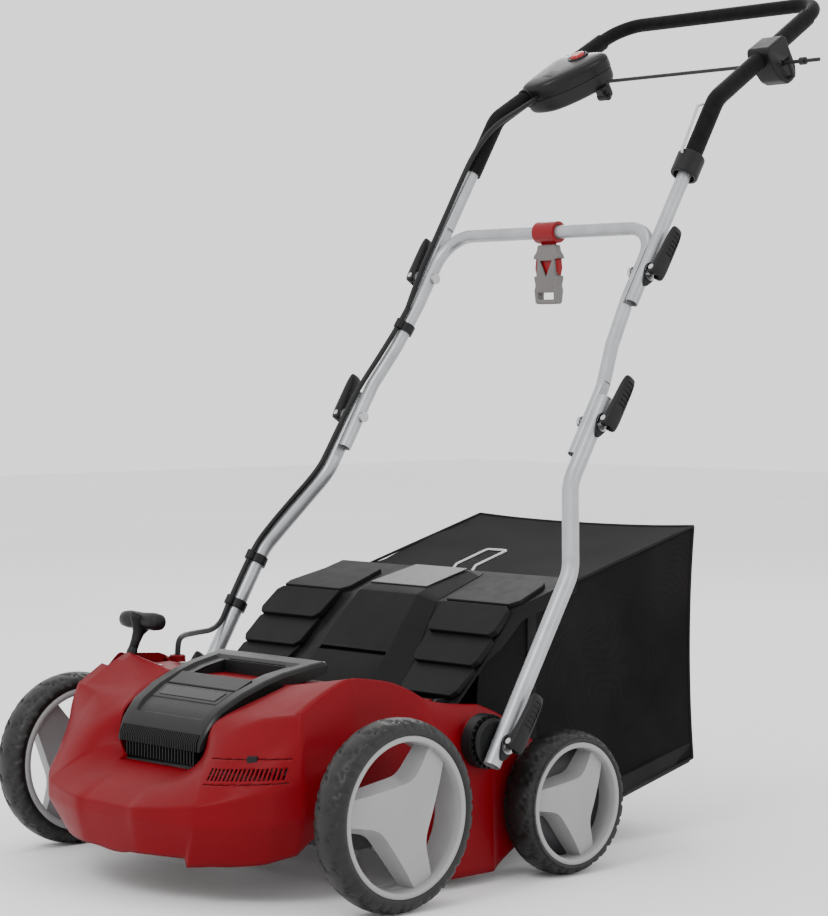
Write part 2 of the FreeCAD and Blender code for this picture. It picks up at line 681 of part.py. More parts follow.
def cover_wire(back, half_width, low, high, inset):
    corner = 7 if high - low > 15 else 4
    x = half_width - inset
    low_z = low - (20 if inset else 0)
    high_z = high - inset
    right = [(x, low_z), (x, high_z - corner), (x - corner, high_z)]
    around = right + [(-across, up) for across, up in reversed(right)]
    points = [Vector(across, float(Y) + back, up) for across, up in around]
    return Part.makePolygon(points + points[:1])


cover_outer = Part.makeLoft([cover_wire(*numbers, 0) for numbers in COVER_STATIONS], True, True)
cover_inner = Part.makeLoft([cover_wire(back + (3 if back < -68 else 0) - (3 if back > 60 else 0),
                                        *numbers, 3) for back, *numbers in COVER_STATIONS], True, True)
cover_shell = feature("cover_shell", cover_outer.cut(cover_inner))
carry_gap = box("carry_gap", (128, 36, 60), (-64, Y + 18, 200))
recess_block = box("recess_block", (131, 32, 17.6), (-65.5, Y - 91, 142.6))
recess_hollow = box("recess_hollow", (127, 30, 13), (-63.5, Y - 92, 144.6))
recess_liner = cut("recess_liner", recess_block, recess_hollow)
node("motor_cover", cut("motor_cover", fuse("cover_whole", cover_shell, recess_liner), carry_gap))

deck_points = [(14, 223), (70, 223), (145, 203.8), (152, 203.8), (152, 206.8), (145, 206.8)]
deck_points += [(70, 226), (14, 226)]
deck_panel = plate("deck_panel", "YZ_Plane", deck_points, 374, (0, Y, 0))
SCREW_PLACES = [(across, back) for across in (-150, 150) for back in (24, 60)]
screw_holes = [cylinder(f"screw_hole_{number}", 2.05, 30, (across, Y + back, 210), ALONG_Z)
               for number, (across, back) in enumerate(SCREW_PLACES)]
node("rear_deck", cut("rear_deck", deck_panel, *screw_holes))
screws = []
for number, (across, back) in enumerate(SCREW_PLACES):
    shank = cylinder(f"screw_shank_{number}", 2, 16, (across, Y + back, 211), ALONG_Z)
    head = cylinder(f"screw_head_{number}", 4.5, 2.5, (across, Y + back, 226), ALONG_Z)
    screws.append(fuse(f"screw_{number}", shank, head))
node("deck_screws", group("deck_screws", *screws))


# --- chute flap ----------------------------------------------------------------------
FLAP = cell("flap_half_width")
flap_top = [(168, 199), (212, 241), (239, 272), (269, 303.5), (372, 333)]
flap_under = [(372, 330), (270.4, 300.8), (241.2, 270.4), (214.2, 239), (171, 197.4)]
ridge_points = [(176, 216), (262, 308), (286, 319), (352, 335), (372, 336), (372, 332)]
ridge_points += [(268, 301), (238, 270), (176, 206)]
flap_sheet = plate("flap_sheet", "YZ_Plane", flap_top + flap_under, FLAP * 2, (0, Y, 0))
flap_ridge = plate("flap_ridge", "YZ_Plane", ridge_points, 90, (0, Y, 0))
flap_barrel = cylinder("flap_barrel", 6, 360, (-180, *FLAP_HINGE))
flap_bore = cylinder("flap_bore", 3 + GAP, 380, (-190, *FLAP_HINGE))
flap_notches = [box("flap_notch_" + side_name, (6, 32, 36), (SIDE_PLATE * sign - 3, Y + 150, 180))
                for side_name, sign in SIDES.items()]
flap_cheeks = [plate("flap_cheek_" + side_name, "YZ_Plane",
                     [(200, 228), (212, 240), (239, 271), (269, 302), (372, 331), (372, 318),
                      (280, 290), (250, 262)], 3, (sign * (FLAP - 1.5), Y, 0))
               for side_name, sign in SIDES.items()]
node("chute_flap", cut("chute_flap", fuse("flap_whole", flap_sheet, flap_ridge, flap_barrel,
                                          *flap_cheeks), flap_bore, *flap_notches))
node("flap_hinge_rod", cylinder("flap_hinge_rod", 3, SIDE_PLATE * 2 + 12,
                                (-SIDE_PLATE - 6, *FLAP_HINGE)))


# --- collecting bag ------------------------------------------------------------------
BAG = float(cell("bag_half_width"))
BAG_FRONT = float(cell("bag_front"))
BAG_BACK = float(cell("bag_back"))
BAG_TOP = float(cell("bag_top"))
BAG_STATIONS = [
    (BAG_FRONT, BAG - 7, 66, 304),
    (372, BAG - 5, 63, 323),
    (472, BAG - 2, 61, 350),
    (BAG_BACK - 5, BAG, 92, BAG_TOP),
    (BAG_BACK, BAG - 5, 97, BAG_TOP - 5),
]


def bag_wire(back, half_width, low, high, inset):
    x = half_width - inset
    y = float(Y) + back
    corners = [Vector(x, y, low + inset), Vector(x, y, high - inset)]
    corners += [Vector(-x, y, high - inset), Vector(-x, y, low + inset)]
    return Part.makePolygon(corners + corners[:1])


bag_wall = float(cell("bag_wall"))
bag_outer = Part.makeLoft([bag_wire(*numbers, 0) for numbers in BAG_STATIONS], True, True)
inner_stations = [(BAG_FRONT - 10, *BAG_STATIONS[0][1:])] + BAG_STATIONS[1:-1]
inner_stations[-1] = (BAG_BACK - bag_wall - 2, *inner_stations[-1][1:])
bag_inner = Part.makeLoft([bag_wire(*numbers, bag_wall) for numbers in inner_stations], True, True)
node("bag_fabric", feature("bag_fabric", bag_outer.cut(bag_inner)))

base_points = [(330, 58.5), (472, 54), (606, 86.5), (606, 90), (472, 59), (330, 62)]
node("bag_base", plate("bag_base", "YZ_Plane", base_points, (cell("bag_half_width") - 4) * 2, (0, Y, 0)))

BAG_WIRE = 3
frame_x = BAG - 12
frame_y = float(Y) + BAG_FRONT - BAG_WIRE - 1
frame_corners = [Vector(0, frame_y, 72), Vector(frame_x, frame_y, 72), Vector(frame_x, frame_y, 298)]
frame_corners += [Vector(-frame_x, frame_y, 298), Vector(-frame_x, frame_y, 72), Vector(-2, frame_y, 72)]
mouth_wire = rod(frame_corners, BAG_WIRE, 18)
HANDLE_LOW = Vector(17, float(Y) + 392, 336)
handle_corners = [Vector(17, float(Y) + 386, 330), HANDLE_LOW, Vector(17, float(Y) + 448, 352)]
handle_corners += [Vector(-point.x, point.y, point.z) for point in reversed(handle_corners)]
lift_wire = rod(handle_corners, 2, 4)
node("bag_frame_wire", feature("bag_frame_wire", Part.makeCompound([mouth_wire, lift_wire])))


# --- handle joints: toothed discs, feet, bolts ---------------------------------------
def toothed_disc(name, sign):
    """The fixed disc of the height adjuster, with radial teeth on its outer face."""
    radius = cell("disc_radius")
    low = cell("skirt_half_width") - 3
    face = 14
    points = [(0, 4.05), (0, radius), (face, radius), (face, 4.05)]
    turn = Rotation(Vector(0, 0, 1), 0 if sign > 0 else 180)
    body = turned(name + "_body", points, (sign * low, *PIVOT), turn)
    teeth = []
    count = int(cell("disc_teeth"))
    for number in range(count):
        teeth.append(turned_box(f"{name}_tooth_{number}", (4.4, 12, 2),
                                sign * (low + face) - (2 if sign > 0 else 2.4), PIVOT,
                                360 * number / count, (18.5, -1)))
    return fuse(name, body, *teeth)


node("toothed_discs", group("toothed_discs", *[toothed_disc("disc_" + side_name, sign)
                                              for side_name, sign in SIDES.items()]))


def foot(name, sign):
    """The saddle that the lower tube sits in, its back face against the disc's teeth."""
    low = cell("skirt_half_width") + 14
    points = [(0, 4.05), (0, cell("disc_radius") - 4), (2.2, cell("disc_radius") - 4)]
    points += [(4.7, cell("disc_radius") - 8), (4.7, 4.05)]
    turn = Rotation(Vector(0, 0, 1), 0 if sign > 0 else 180)
    return turned(name, points, (sign * low, *PIVOT), turn)


TUBE = float(cell("lower_tube_radius"))
SLIM = float(cell("upper_tube_radius"))
FOOT_X = float(cell("foot_x"))
LOWER_TOP_X = float(cell("lower_top_x"))
MIDDLE_FOOT_X = float(cell("middle_foot_x"))
MIDDLE_LEG_X = float(cell("middle_leg_x"))
UPPER_LEG_X = float(cell("upper_leg_x"))
LOWER_JOINT = float(cell("lower_joint_reach"))
UPPER_JOINT = float(cell("upper_joint_reach"))
CROSS_BAR = float(cell("cross_bar_reach"))
TOP_LENGTH = float(cell("top_length"))
TOP_X = float(cell("top_half_width"))
SPLIT_X = 208.1
UPPER_SPLIT_X = 187.3
MIDDLE_TOP_X = 184.0

lower_path = [on_handle(FOOT_X, -28), on_handle(FOOT_X, 218), on_handle(LOWER_TOP_X, 334)]
lower_path += [on_handle(LOWER_TOP_X, 450)]
lower_tube = pressed_tube(lower_path, TUBE, 60, [(-1, SPLIT_X + 0.1, 356, 470)])
lower_tube = bolt_hole(bolt_hole(lower_tube, 0), LOWER_JOINT)
node("lower_tubes", feature("lower_tubes", Part.makeCompound([mirrored(lower_tube), lower_tube])))
node("handle_feet", group("handle_feet", *[foot("foot_" + side_name, sign)
                                          for side_name, sign in SIDES.items()]))

middle_half = [on_handle(MIDDLE_FOOT_X, 371), on_handle(MIDDLE_FOOT_X, 466)]
middle_half += [on_handle(MIDDLE_LEG_X, 524), on_handle(MIDDLE_TOP_X, 590)]
middle_half += [on_handle(MIDDLE_TOP_X, CROSS_BAR)]
middle_path = middle_half + [Vector(-point.x, point.y, point.z) for point in reversed(middle_half)]
middle_presses = []
for sign in SIDES.values():
    middle_presses.append((sign, sign * (SPLIT_X - 0.1), 340, 472))
    middle_presses.append((sign, sign * (UPPER_SPLIT_X - 0.1), 580, 706))
middle_tube = pressed_tube(middle_path, SLIM, 45, middle_presses)
middle_tube = bolt_hole(bolt_hole(middle_tube, LOWER_JOINT), UPPER_JOINT)
node("middle_handle", feature("middle_handle", middle_tube))

upper_half = [on_handle(UPPER_LEG_X, 585), BEND + Vector(UPPER_LEG_X, 0, 0), on_top(TOP_X, TOP_LENGTH)]
upper_path = upper_half + [Vector(-point.x, point.y, point.z) for point in reversed(upper_half)]
upper_presses = [(-sign, sign * (UPPER_SPLIT_X + 0.1), 570, 708) for sign in SIDES.values()]
upper_tube = pressed_tube(upper_path, SLIM, 42, upper_presses)
node("upper_handle", feature("upper_handle", bolt_hole(upper_tube, UPPER_JOINT)))


# --- grips ---------------------------------------------------------------------------
def top_x(reach):
    """Half-width of the upper handle's centre line along its flatter top."""
    return UPPER_LEG_X + (TOP_X - UPPER_LEG_X) * reach / TOP_LENGTH


GRIP = float(cell("grip_radius"))
grip_path = [on_handle(UPPER_LEG_X, 798), BEND + Vector(UPPER_LEG_X, 0, 0), on_top(top_x(232), 232)]
grip_bore = rod(grip_path, SLIM + 0.02, 42)
side_grip = rod(grip_path, GRIP, 42).cut(grip_bore)
bar_half = [on_top(top_x(232.5), 232.5), on_top(TOP_X, TOP_LENGTH)]
bar_path = bar_half + [Vector(-point.x, point.y, point.z) for point in reversed(bar_half)]
bar_grip = rod(bar_path, SLIM + 1, 42).cut(rod(bar_path, SLIM + 0.02, 42))
node("handle_grips", feature("handle_grips", Part.makeCompound([side_grip, mirrored(side_grip), bar_grip])))


# --- clamps --------------------------------------------------------------------------
BOLT = float(cell("clamp_bolt_radius"))
PIN = float(cell("clamp_pin_radius"))
LEVER_WIDTH = float(cell("lever_width"))
LEVER_LENGTH = float(cell("lever_length"))
CAM = 8.0


def clamp_hardware(reach, head_x, seat_x):
    """A clamp's bolt, with its head inside and cross pin outside, and the plate under its cam."""
    pin_x = seat_x + 2.8 + CAM + 0.2
    bolt = Part.makeCylinder(BOLT, pin_x - head_x, on_handle(head_x, reach), Vector(1, 0, 0))
    bolt = bolt.fuse(Part.makeCylinder(7, 4, on_handle(head_x, reach), Vector(1, 0, 0)))
    pin_start = on_handle(pin_x, reach, -LEVER_WIDTH / 2)
    bolt = bolt.fuse(Part.makeCylinder(PIN, LEVER_WIDTH, pin_start, OFF_HANDLE))
    seat = Part.makeCylinder(11, 2.8, on_handle(seat_x, reach), Vector(1, 0, 0))
    seat = seat.cut(Part.makeCylinder(BOLT + 0.02, 4, on_handle(seat_x - 0.5, reach), Vector(1, 0, 0)))
    return [bolt, seat], pin_x


def clamp_lever(label, sign, reach, pin_x):
    """A quick-release lever lying along the tube, cheeks either side of its bolt."""
    points = [(-CAM + 1, -3), (-3, 0.6 - CAM), (5, 0.6 - CAM), (18, -4.5), (LEVER_LENGTH - 8, -1)]
    points += [(LEVER_LENGTH, 4), (LEVER_LENGTH - 3, 9), (LEVER_LENGTH - 12, 11), (16, 9)]
    points += [(4, CAM), (-4, CAM - 1), (-CAM + 0.5, 3)]
    wire = Part.makePolygon([on_lever(sign, reach, pin_x, *point, -LEVER_WIDTH / 2)
                             for point in points + points[:1]])
    body = Part.Face(wire).extrude(OFF_HANDLE * LEVER_WIDTH)
    start = on_lever(sign, reach, pin_x, 0, 0, -LEVER_WIDTH / 2 - 1)
    body = body.cut(Part.makeCylinder(PIN + 0.05, LEVER_WIDTH + 2, start, OFF_HANDLE))
    slot = Part.makePolygon([on_lever(sign, reach, pin_x, *point, -BOLT - 0.3)
                             for point in ((-12, -12), (BOLT + 0.4, -12), (BOLT + 0.4, BOLT + 0.4),
                                           (-12, BOLT + 0.4), (-12, -12))])
    body = body.cut(Part.Face(slot).extrude(OFF_HANDLE * (BOLT * 2 + 0.6)))
    return node(label, feature(label, body))


def on_lever(sign, reach, pin_x, along, outward, off):
    return on_handle(sign * (pin_x + outward), reach + along, off)


CLAMPS = {
    "base": (0.0, 219.0, FOOT_X + TUBE + 0.2),
    "lower_joint": (LOWER_JOINT, MIDDLE_FOOT_X - SLIM - 4.2, LOWER_TOP_X + TUBE + 0.2),
    "upper_joint": (UPPER_JOINT, MIDDLE_TOP_X - SLIM - 4.2, UPPER_LEG_X + SLIM + 0.2),
}
for clamp_name, (reach, head_x, seat_x) in CLAMPS.items():
    solids, pin_x = clamp_hardware(reach, head_x, seat_x)
    solids += [mirrored(solid) for solid in solids]
    label = clamp_name + "_clamp_bolts"
    node(label, feature(label, Part.makeCompound(solids)))
    for side_name, sign in SIDES.items():
        clamp_lever(f"{clamp_name}_lever_{side_name}", sign, reach, pin_x)


# --- switch box, button, bail --------------------------------------------------------
BOX_OUTLINE = [(-200, 72), (-194, 62), (-165, 62), (-140, 78), (-116, 112), (-106, 140), (-106, 156)]
BOX_OUTLINE += [(-114, 166), (-192, 166), (-200, 158)]
BOX_MIDDLE = (-156, 118)


def box_slab(low, high, scale=1.0):
    """The switch box's outline as a slab between two heights above the handle's top."""
    points = [(BOX_MIDDLE[0] + (x - BOX_MIDDLE[0]) * scale,
               BOX_MIDDLE[1] + (reach - BOX_MIDDLE[1]) * scale) for x, reach in BOX_OUTLINE]
    wire = Part.makePolygon([on_top(x, reach, low) for x, reach in points + points[:1]])
    return Part.Face(wire).extrude(OFF_TOP * (high - low))


BUTTON = float(cell("button_radius"))
BUTTON_X = -150
BUTTON_REACH = 146
left_tunnel = mirrored(rod(grip_path, GRIP + 0.1, 42))
button_well = cylinder_between(on_top(BUTTON_X, BUTTON_REACH, 5), on_top(BUTTON_X, BUTTON_REACH, 30),
                               BUTTON + 0.15)
lid = box_slab(-5.9, 16).cut(box_slab(-7, 13.4, 0.93))
lid_collar = cylinder_between(on_top(-185.5, 67, 0), on_top(-182, 161, 0), GRIP + 2.2)
lid = lid.fuse(lid_collar.common(box_slab(-5.9, 16))).cut(left_tunnel).cut(button_well)
node("switch_box_lid", feature("switch_box_lid", lid))

BAIL = float(cell("bail_radius"))
BAIL_REACH = 130
BAIL_OFF = -16.5
BAIL_PIVOT_OFF = -37
base_shell = box_slab(-29, -6).cut(box_slab(-26.4, -5, 0.93))
base_shell = base_shell.fuse(lid_collar.common(box_slab(-29, -6))).cut(left_tunnel)
pivot_lug = cylinder_between(on_top(-122, BAIL_REACH, BAIL_PIVOT_OFF),
                             on_top(-106, BAIL_REACH, BAIL_PIVOT_OFF), 7)
lug_web = cylinder_between(on_top(-114, BAIL_REACH, BAIL_PIVOT_OFF), on_top(-114, BAIL_REACH, -27), 6)
pivot_bore = cylinder_between(on_top(-118, BAIL_REACH, BAIL_PIVOT_OFF),
                              on_top(-90, BAIL_REACH, BAIL_PIVOT_OFF), BAIL + 0.05)
node("switch_box_base", feature("switch_box_base", base_shell.fuse([pivot_lug, lug_web]).cut(pivot_bore)))

button_cap = cylinder_between(on_top(BUTTON_X, BUTTON_REACH, 8), on_top(BUTTON_X, BUTTON_REACH, 20), BUTTON)
button_rim = cylinder_between(on_top(BUTTON_X, BUTTON_REACH, 8), on_top(BUTTON_X, BUTTON_REACH, 11),
                              BUTTON + 2)
node("safety_button", feature("safety_button", button_cap.fuse(button_rim)))

bail_points = [on_top(-117, BAIL_REACH, BAIL_PIVOT_OFF), on_top(-100, BAIL_REACH, BAIL_PIVOT_OFF)]
bail_points += [on_top(-100, BAIL_REACH, BAIL_OFF), on_top(262, BAIL_REACH, BAIL_OFF)]
bail_arm = [on_top(197, BAIL_REACH, BAIL_PIVOT_OFF), on_top(214, BAIL_REACH, BAIL_PIVOT_OFF)]
bail_arm += [on_top(214, BAIL_REACH, BAIL_OFF)]
bail_collar = cylinder_between(on_top(232, BAIL_REACH, BAIL_OFF), on_top(240, BAIL_REACH, BAIL_OFF), 5)
node("bail_bar", feature("bail_bar", rod(bail_points, BAIL, 4).fuse([rod(bail_arm, BAIL, 4), bail_collar])))

bracket_wire = Part.makePolygon([on_top(170, reach, off) for reach, off in
                                 ((98, 8), (104, 15), (146, 15), (150, 10), (150, -30), (138, -45),
                                  (120, -45), (98, -18), (98, 8))])
bracket = Part.Face(bracket_wire).extrude(Vector(37, 0, 0))
bracket = bracket.cut(rod(grip_path, GRIP + 0.1, 42))
bail_slot = Part.makePolygon([on_top(160, reach, off) for reach, off in
                              ((126, -20.5), (141.5, -20.5), (141.5, -12.6), (126, -12.6), (126, -20.5))])
bracket = bracket.cut(Part.Face(bail_slot).extrude(Vector(60, 0, 0)))
bracket = bracket.cut(cylinder_between(on_top(195, BAIL_REACH, BAIL_PIVOT_OFF),
                                       on_top(220, BAIL_REACH, BAIL_PIVOT_OFF), BAIL + 0.05))
node("bail_bracket", feature("bail_bracket", bracket))

relief_band = cylinder_between(on_handle(UPPER_LEG_X, 778), on_handle(UPPER_LEG_X, 797.5), SLIM + 3.5)
relief_bore = cylinder_between(on_handle(UPPER_LEG_X, 770), on_handle(UPPER_LEG_X, 800), SLIM + 0.02)
relief_band = relief_band.cut(relief_bore)
relief_line = [on_handle(UPPER_LEG_X, 794, 8.8), on_handle(UPPER_LEG_X, 794, 15)]
relief_line += [on_handle(UPPER_LEG_X, 783, 19), on_handle(UPPER_LEG_X, 860, 24)]
relief_line += [on_handle(UPPER_LEG_X, 868, 18)]
relief_wire = rod(relief_line, 1.8, 3)
node("cord_relief", feature("cord_relief", relief_band.fuse(relief_wire)))


# --- hanging buckle ------------------------------------------------------------------
BAR = on_handle(0, CROSS_BAR)
ring = Part.makeCylinder(SLIM + 5.5, 36, BAR - Vector(18, 0, 0), Vector(1, 0, 0))
tongue = Part.makeBox(24, 4, 52, BAR + Vector(-12, -2, -64))
hook = ring.fuse(tongue).cut(Part.makeCylinder(SLIM + 0.4, 40, BAR - Vector(20, 0, 0), Vector(1, 0, 0)))
node("buckle_hook", feature("buckle_hook", hook))
buckle = Part.makeBox(46, 12, 76, BAR + Vector(-23, -6, -92))
buckle = buckle.cut(Part.makeBox(24.6, 4.6, 60, BAR + Vector(-12.3, -2.3, -64.5)))
for low_x, low_z, width, height in ((-14, -86, 28, 10), (-23.5, -60, 6, 24), (17.5, -60, 6, 24)):
    buckle = buckle.cut(Part.makeBox(width, 14, height, BAR + Vector(low_x, -7, low_z)))
node("buckle_body", feature("buckle_body", buckle))


# --- mains lead along the left tube, in one piece per handle section -----------------
CABLE = float(cell("cable_radius"))
COLLAR = Vector(CORD_X, float(Y) + CORD_BACK, 0)
LOWER_OFF = TUBE + CABLE + 0.6
SLIM_OFF = SLIM + CABLE + 0.6
lead_lower = [COLLAR + Vector(0, 0, 216), COLLAR + Vector(0, 0, 244), on_handle(-FOOT_X, 104, LOWER_OFF)]
lead_lower += [on_handle(-FOOT_X, 216, LOWER_OFF), on_handle(-231.5, 299.9, LOWER_OFF)]
lead_middle = [on_handle(-231.5, 300, LOWER_OFF), on_handle(-LOWER_TOP_X, 334, LOWER_OFF)]
lead_middle += [on_handle(-LOWER_TOP_X, 420, LOWER_OFF), on_handle(-MIDDLE_LEG_X, 526, SLIM_OFF)]
lead_middle += [on_handle(-186, 576.4, SLIM_OFF)]
lead_upper = [on_handle(-186, 577.5, SLIM_OFF), on_handle(-UPPER_LEG_X, 660, SLIM_OFF)]
lead_upper += [on_handle(-UPPER_LEG_X, 740, SLIM_OFF), on_handle(2 - UPPER_LEG_X, 785, 17)]
lead_upper += [on_handle(-174, 868, 15), on_top(-170, 32, -2)]
lead_upper += [on_top(-170, 61.9, -2)]
LEADS = {"cable_lower": lead_lower, "cable_middle": lead_middle, "cable_upper": lead_upper}
for label, points in LEADS.items():
    node(label, feature(label, rod(points, CABLE, 14)))


def cable_clip(reach, tube_radius, off, tube_line, lead_line):
    """A plastic clip that snaps round the tube and holds the lead against it.

    Each line gives its place across the machine at the given reach, and its change per mm.
    """
    def along(line, past, lift, radius):
        ends = [on_handle(line[0] + line[1] * step, reach + step, lift) for step in (-past, past)]
        return cylinder_between(*ends, radius)

    clip = along(tube_line, 6, 0, tube_radius + 2.5).fuse(along(lead_line, 6, off, CABLE + 2.5))
    return clip.cut(along(tube_line, 8, 0, tube_radius + 0.05)).cut(along(lead_line, 8, off, CABLE + 0.05))


lower_clips = [cable_clip(reach, TUBE, LOWER_OFF, (-FOOT_X, 0), (-FOOT_X, 0)) for reach in (134, 200)]
node("cable_clips_lower", feature("cable_clips_lower", Part.makeCompound(lower_clips)))
CLIP_REACH = 552
tube_lean = (MIDDLE_LEG_X - MIDDLE_TOP_X) / (590 - 524)
tube_line = (-MIDDLE_LEG_X + tube_lean * (CLIP_REACH - 524), tube_lean)
lead_lean = (MIDDLE_LEG_X - 186) / (576.4 - 526)
lead_line = (-MIDDLE_LEG_X + lead_lean * (CLIP_REACH - 526), lead_lean)
middle_clip = cable_clip(CLIP_REACH, SLIM, SLIM_OFF, tube_line, lead_line)
node("cable_clip_middle", feature("cable_clip_middle", middle_clip))


# --- hand-in -------------------------------------------------------------------------
doc.recompute()
for obj in doc.Objects:
    if "Invalid" in obj.State or "Error" in obj.State:
        raise RuntimeError(f"{obj.Label}: {obj.State}")
for obj in nodes:
    if obj.Shape.isNull() or not obj.Shape.isValid():
        raise RuntimeError(f"{obj.Label}: the shape is empty or not valid")
    obj.Shape.exportStep(f"parts/{obj.Label}.step")
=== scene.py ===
"""Looks of an electric lawn dethatcher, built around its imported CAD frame."""

import json
import math

import bmesh
import bpy
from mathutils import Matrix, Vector, noise


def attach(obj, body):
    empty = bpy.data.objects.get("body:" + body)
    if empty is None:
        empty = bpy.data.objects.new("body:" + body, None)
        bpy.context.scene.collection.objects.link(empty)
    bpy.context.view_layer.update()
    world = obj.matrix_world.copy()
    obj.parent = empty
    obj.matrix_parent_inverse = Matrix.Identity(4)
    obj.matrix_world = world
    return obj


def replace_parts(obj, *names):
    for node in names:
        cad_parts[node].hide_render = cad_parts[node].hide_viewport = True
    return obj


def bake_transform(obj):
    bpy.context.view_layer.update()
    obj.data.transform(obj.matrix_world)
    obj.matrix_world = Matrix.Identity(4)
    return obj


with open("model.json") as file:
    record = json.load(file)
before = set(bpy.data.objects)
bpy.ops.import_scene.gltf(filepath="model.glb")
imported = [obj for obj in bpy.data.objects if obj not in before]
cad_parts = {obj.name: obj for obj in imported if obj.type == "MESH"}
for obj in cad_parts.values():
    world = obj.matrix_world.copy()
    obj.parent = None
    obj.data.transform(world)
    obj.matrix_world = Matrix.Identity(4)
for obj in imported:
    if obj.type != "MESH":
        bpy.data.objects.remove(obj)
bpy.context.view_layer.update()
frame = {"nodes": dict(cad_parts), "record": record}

# Lengths in this script are millimetres, turned to metres by the place functions below.
MM = 0.001
SIDES = (("left", -1), ("right", 1))
JOINTS = {joint["name"]: joint for joint in frame["record"]["behaviour"]["joints"]}


def joint_place(name):
    """Where a joint's pivot is, in metres."""
    return Vector(JOINTS[name]["pos_m"])


AXLE_Y = joint_place("front_wheel_left_spin").y
FOLD = joint_place("handle_fold")
UPPER_FOLD = joint_place("upper_fold")
BAIL_HINGE = joint_place("bail_pull")
UP_HANDLE = (UPPER_FOLD - FOLD).normalized()
OFF_HANDLE = Vector((0, -UP_HANDLE.z, UP_HANDLE.y))
TOP_SLOPE = math.radians(31.3)
UP_TOP = Vector((0, math.cos(TOP_SLOPE), math.sin(TOP_SLOPE)))
OFF_TOP = Vector((0, -math.sin(TOP_SLOPE), math.cos(TOP_SLOPE)))
BEND_REACH = 888
BEND = FOLD + UP_HANDLE * BEND_REACH * MM


def at(x, y, z):
    """A place from millimetres: x from the middle, y behind the front axle, z above the ground."""
    return Vector((x * MM, AXLE_Y + y * MM, z * MM))


def on_handle(x, reach, off=0.0):
    """A place on the sloping handle, its reach measured from the fold at the housing."""
    return Vector((x * MM, FOLD.y, FOLD.z)) + (UP_HANDLE * reach + OFF_HANDLE * off) * MM


def on_top(x, reach, off=0.0):
    """A place on the flatter top of the handle, its reach measured from the bend."""
    return Vector((x * MM, BEND.y, BEND.z)) + (UP_TOP * reach + OFF_TOP * off) * MM


# --- materials ---
class Shader:
    """A material under construction: object-space coordinates in, one Principled shader out."""

    def __init__(self, name, roughness, metallic=0.0, coat=0.0, sheen=0.0, shine=0.5):
        self.material = bpy.data.materials.new(name)
        self.material.use_nodes = True
        self.tree = self.material.node_tree
        self.shader = self.tree.nodes["Principled BSDF"]
        self.shader.inputs["Roughness"].default_value = roughness
        self.shader.inputs["Metallic"].default_value = metallic
        self.shader.inputs["Coat Weight"].default_value = coat
        self.shader.inputs["Sheen Weight"].default_value = sheen
        self.shader.inputs["Specular IOR Level"].default_value = shine
        self.place = self.add("ShaderNodeTexCoord").outputs["Object"]

    def add(self, kind, **settings):
        made = self.tree.nodes.new(kind)
        for key, value in settings.items():
            setattr(made, key, value)
        return made

    def link(self, source, target):
        self.tree.links.new(source, target)

    def noise(self, scale, detail=3.0, roughness=0.5, stretch=(1, 1, 1)):
        """Noise from 0 to 1, stretched along the axes where that is asked for."""
        mapping = self.add("ShaderNodeMapping")
        mapping.inputs["Scale"].default_value = stretch
        self.link(self.place, mapping.inputs["Vector"])
        made = self.add("ShaderNodeTexNoise")
        made.inputs["Scale"].default_value = scale
        made.inputs["Detail"].default_value = detail
        made.inputs["Roughness"].default_value = roughness
        self.link(mapping.outputs["Vector"], made.inputs["Vector"])
        return made.outputs["Fac"]

    def wave(self, scale, direction):
        """Even bands across one axis."""
        made = self.add("ShaderNodeTexWave", wave_type="BANDS", bands_direction=direction)
        made.inputs["Scale"].default_value = scale
        self.link(self.place, made.inputs["Vector"])
        return made.outputs["Fac"]

    def ramp(self, source, stops):
        """Colours between (position, colour) stops."""
        made = self.add("ShaderNodeValToRGB")
        made.color_ramp.elements[0].position = stops[0][0]
        made.color_ramp.elements[0].color = (*stops[0][1], 1)
        made.color_ramp.elements[1].position = stops[-1][0]
        made.color_ramp.elements[1].color = (*stops[-1][1], 1)
        for position, colour in stops[1:-1]:
            made.color_ramp.elements.new(position).color = (*colour, 1)
        self.link(source, made.inputs["Fac"])
        return made.outputs["Color"]

    def maths(self, operation, first, second):
        made = self.add("ShaderNodeMath", operation=operation)
        for number, source in enumerate((first, second)):
            if isinstance(source, (int, float)):
                made.inputs[number].default_value = source
            else:
                self.link(source, made.inputs[number])
        return made.outputs[0]

    def colour(self, source):
        self.link(source, self.shader.inputs["Base Color"])

    def roughness(self, source, low, high):
        """Roughness from low to high as the source goes from 0 to 1."""
        spread = self.maths("MULTIPLY_ADD", source, high - low)
        spread.node.inputs[2].default_value = low
        self.link(spread, self.shader.inputs["Roughness"])

    def bump(self, source, strength, distance):
        made = self.add("ShaderNodeBump")
        made.inputs["Strength"].default_value = strength
        made.inputs["Distance"].default_value = distance
        self.link(source, made.inputs["Height"])
        self.link(made.outputs["Normal"], self.shader.inputs["Normal"])


def tints(colour, spread):
    """Darker and lighter versions of a colour."""
    return (tuple(c * (1 - spread) for c in colour), tuple(min(1, c * (1 + spread)) for c in colour))


def moulded(name, colour, rough, spread=0.12, grain=0.25, grain_scale=1400, coat=0.0, shine=0.3):
    """Moulded plastic: a faint cloudiness, and a fine eroded grain."""
    made = Shader(name, rough, coat=coat, shine=shine)
    dark, light = tints(colour, spread)
    made.colour(made.ramp(made.noise(14, 4), [(0.3, dark), (0.7, light)]))
    made.roughness(made.noise(60, 3), rough - 0.06, rough + 0.08)
    made.bump(made.noise(grain_scale, 2), grain, 0.0002)
    return made.material


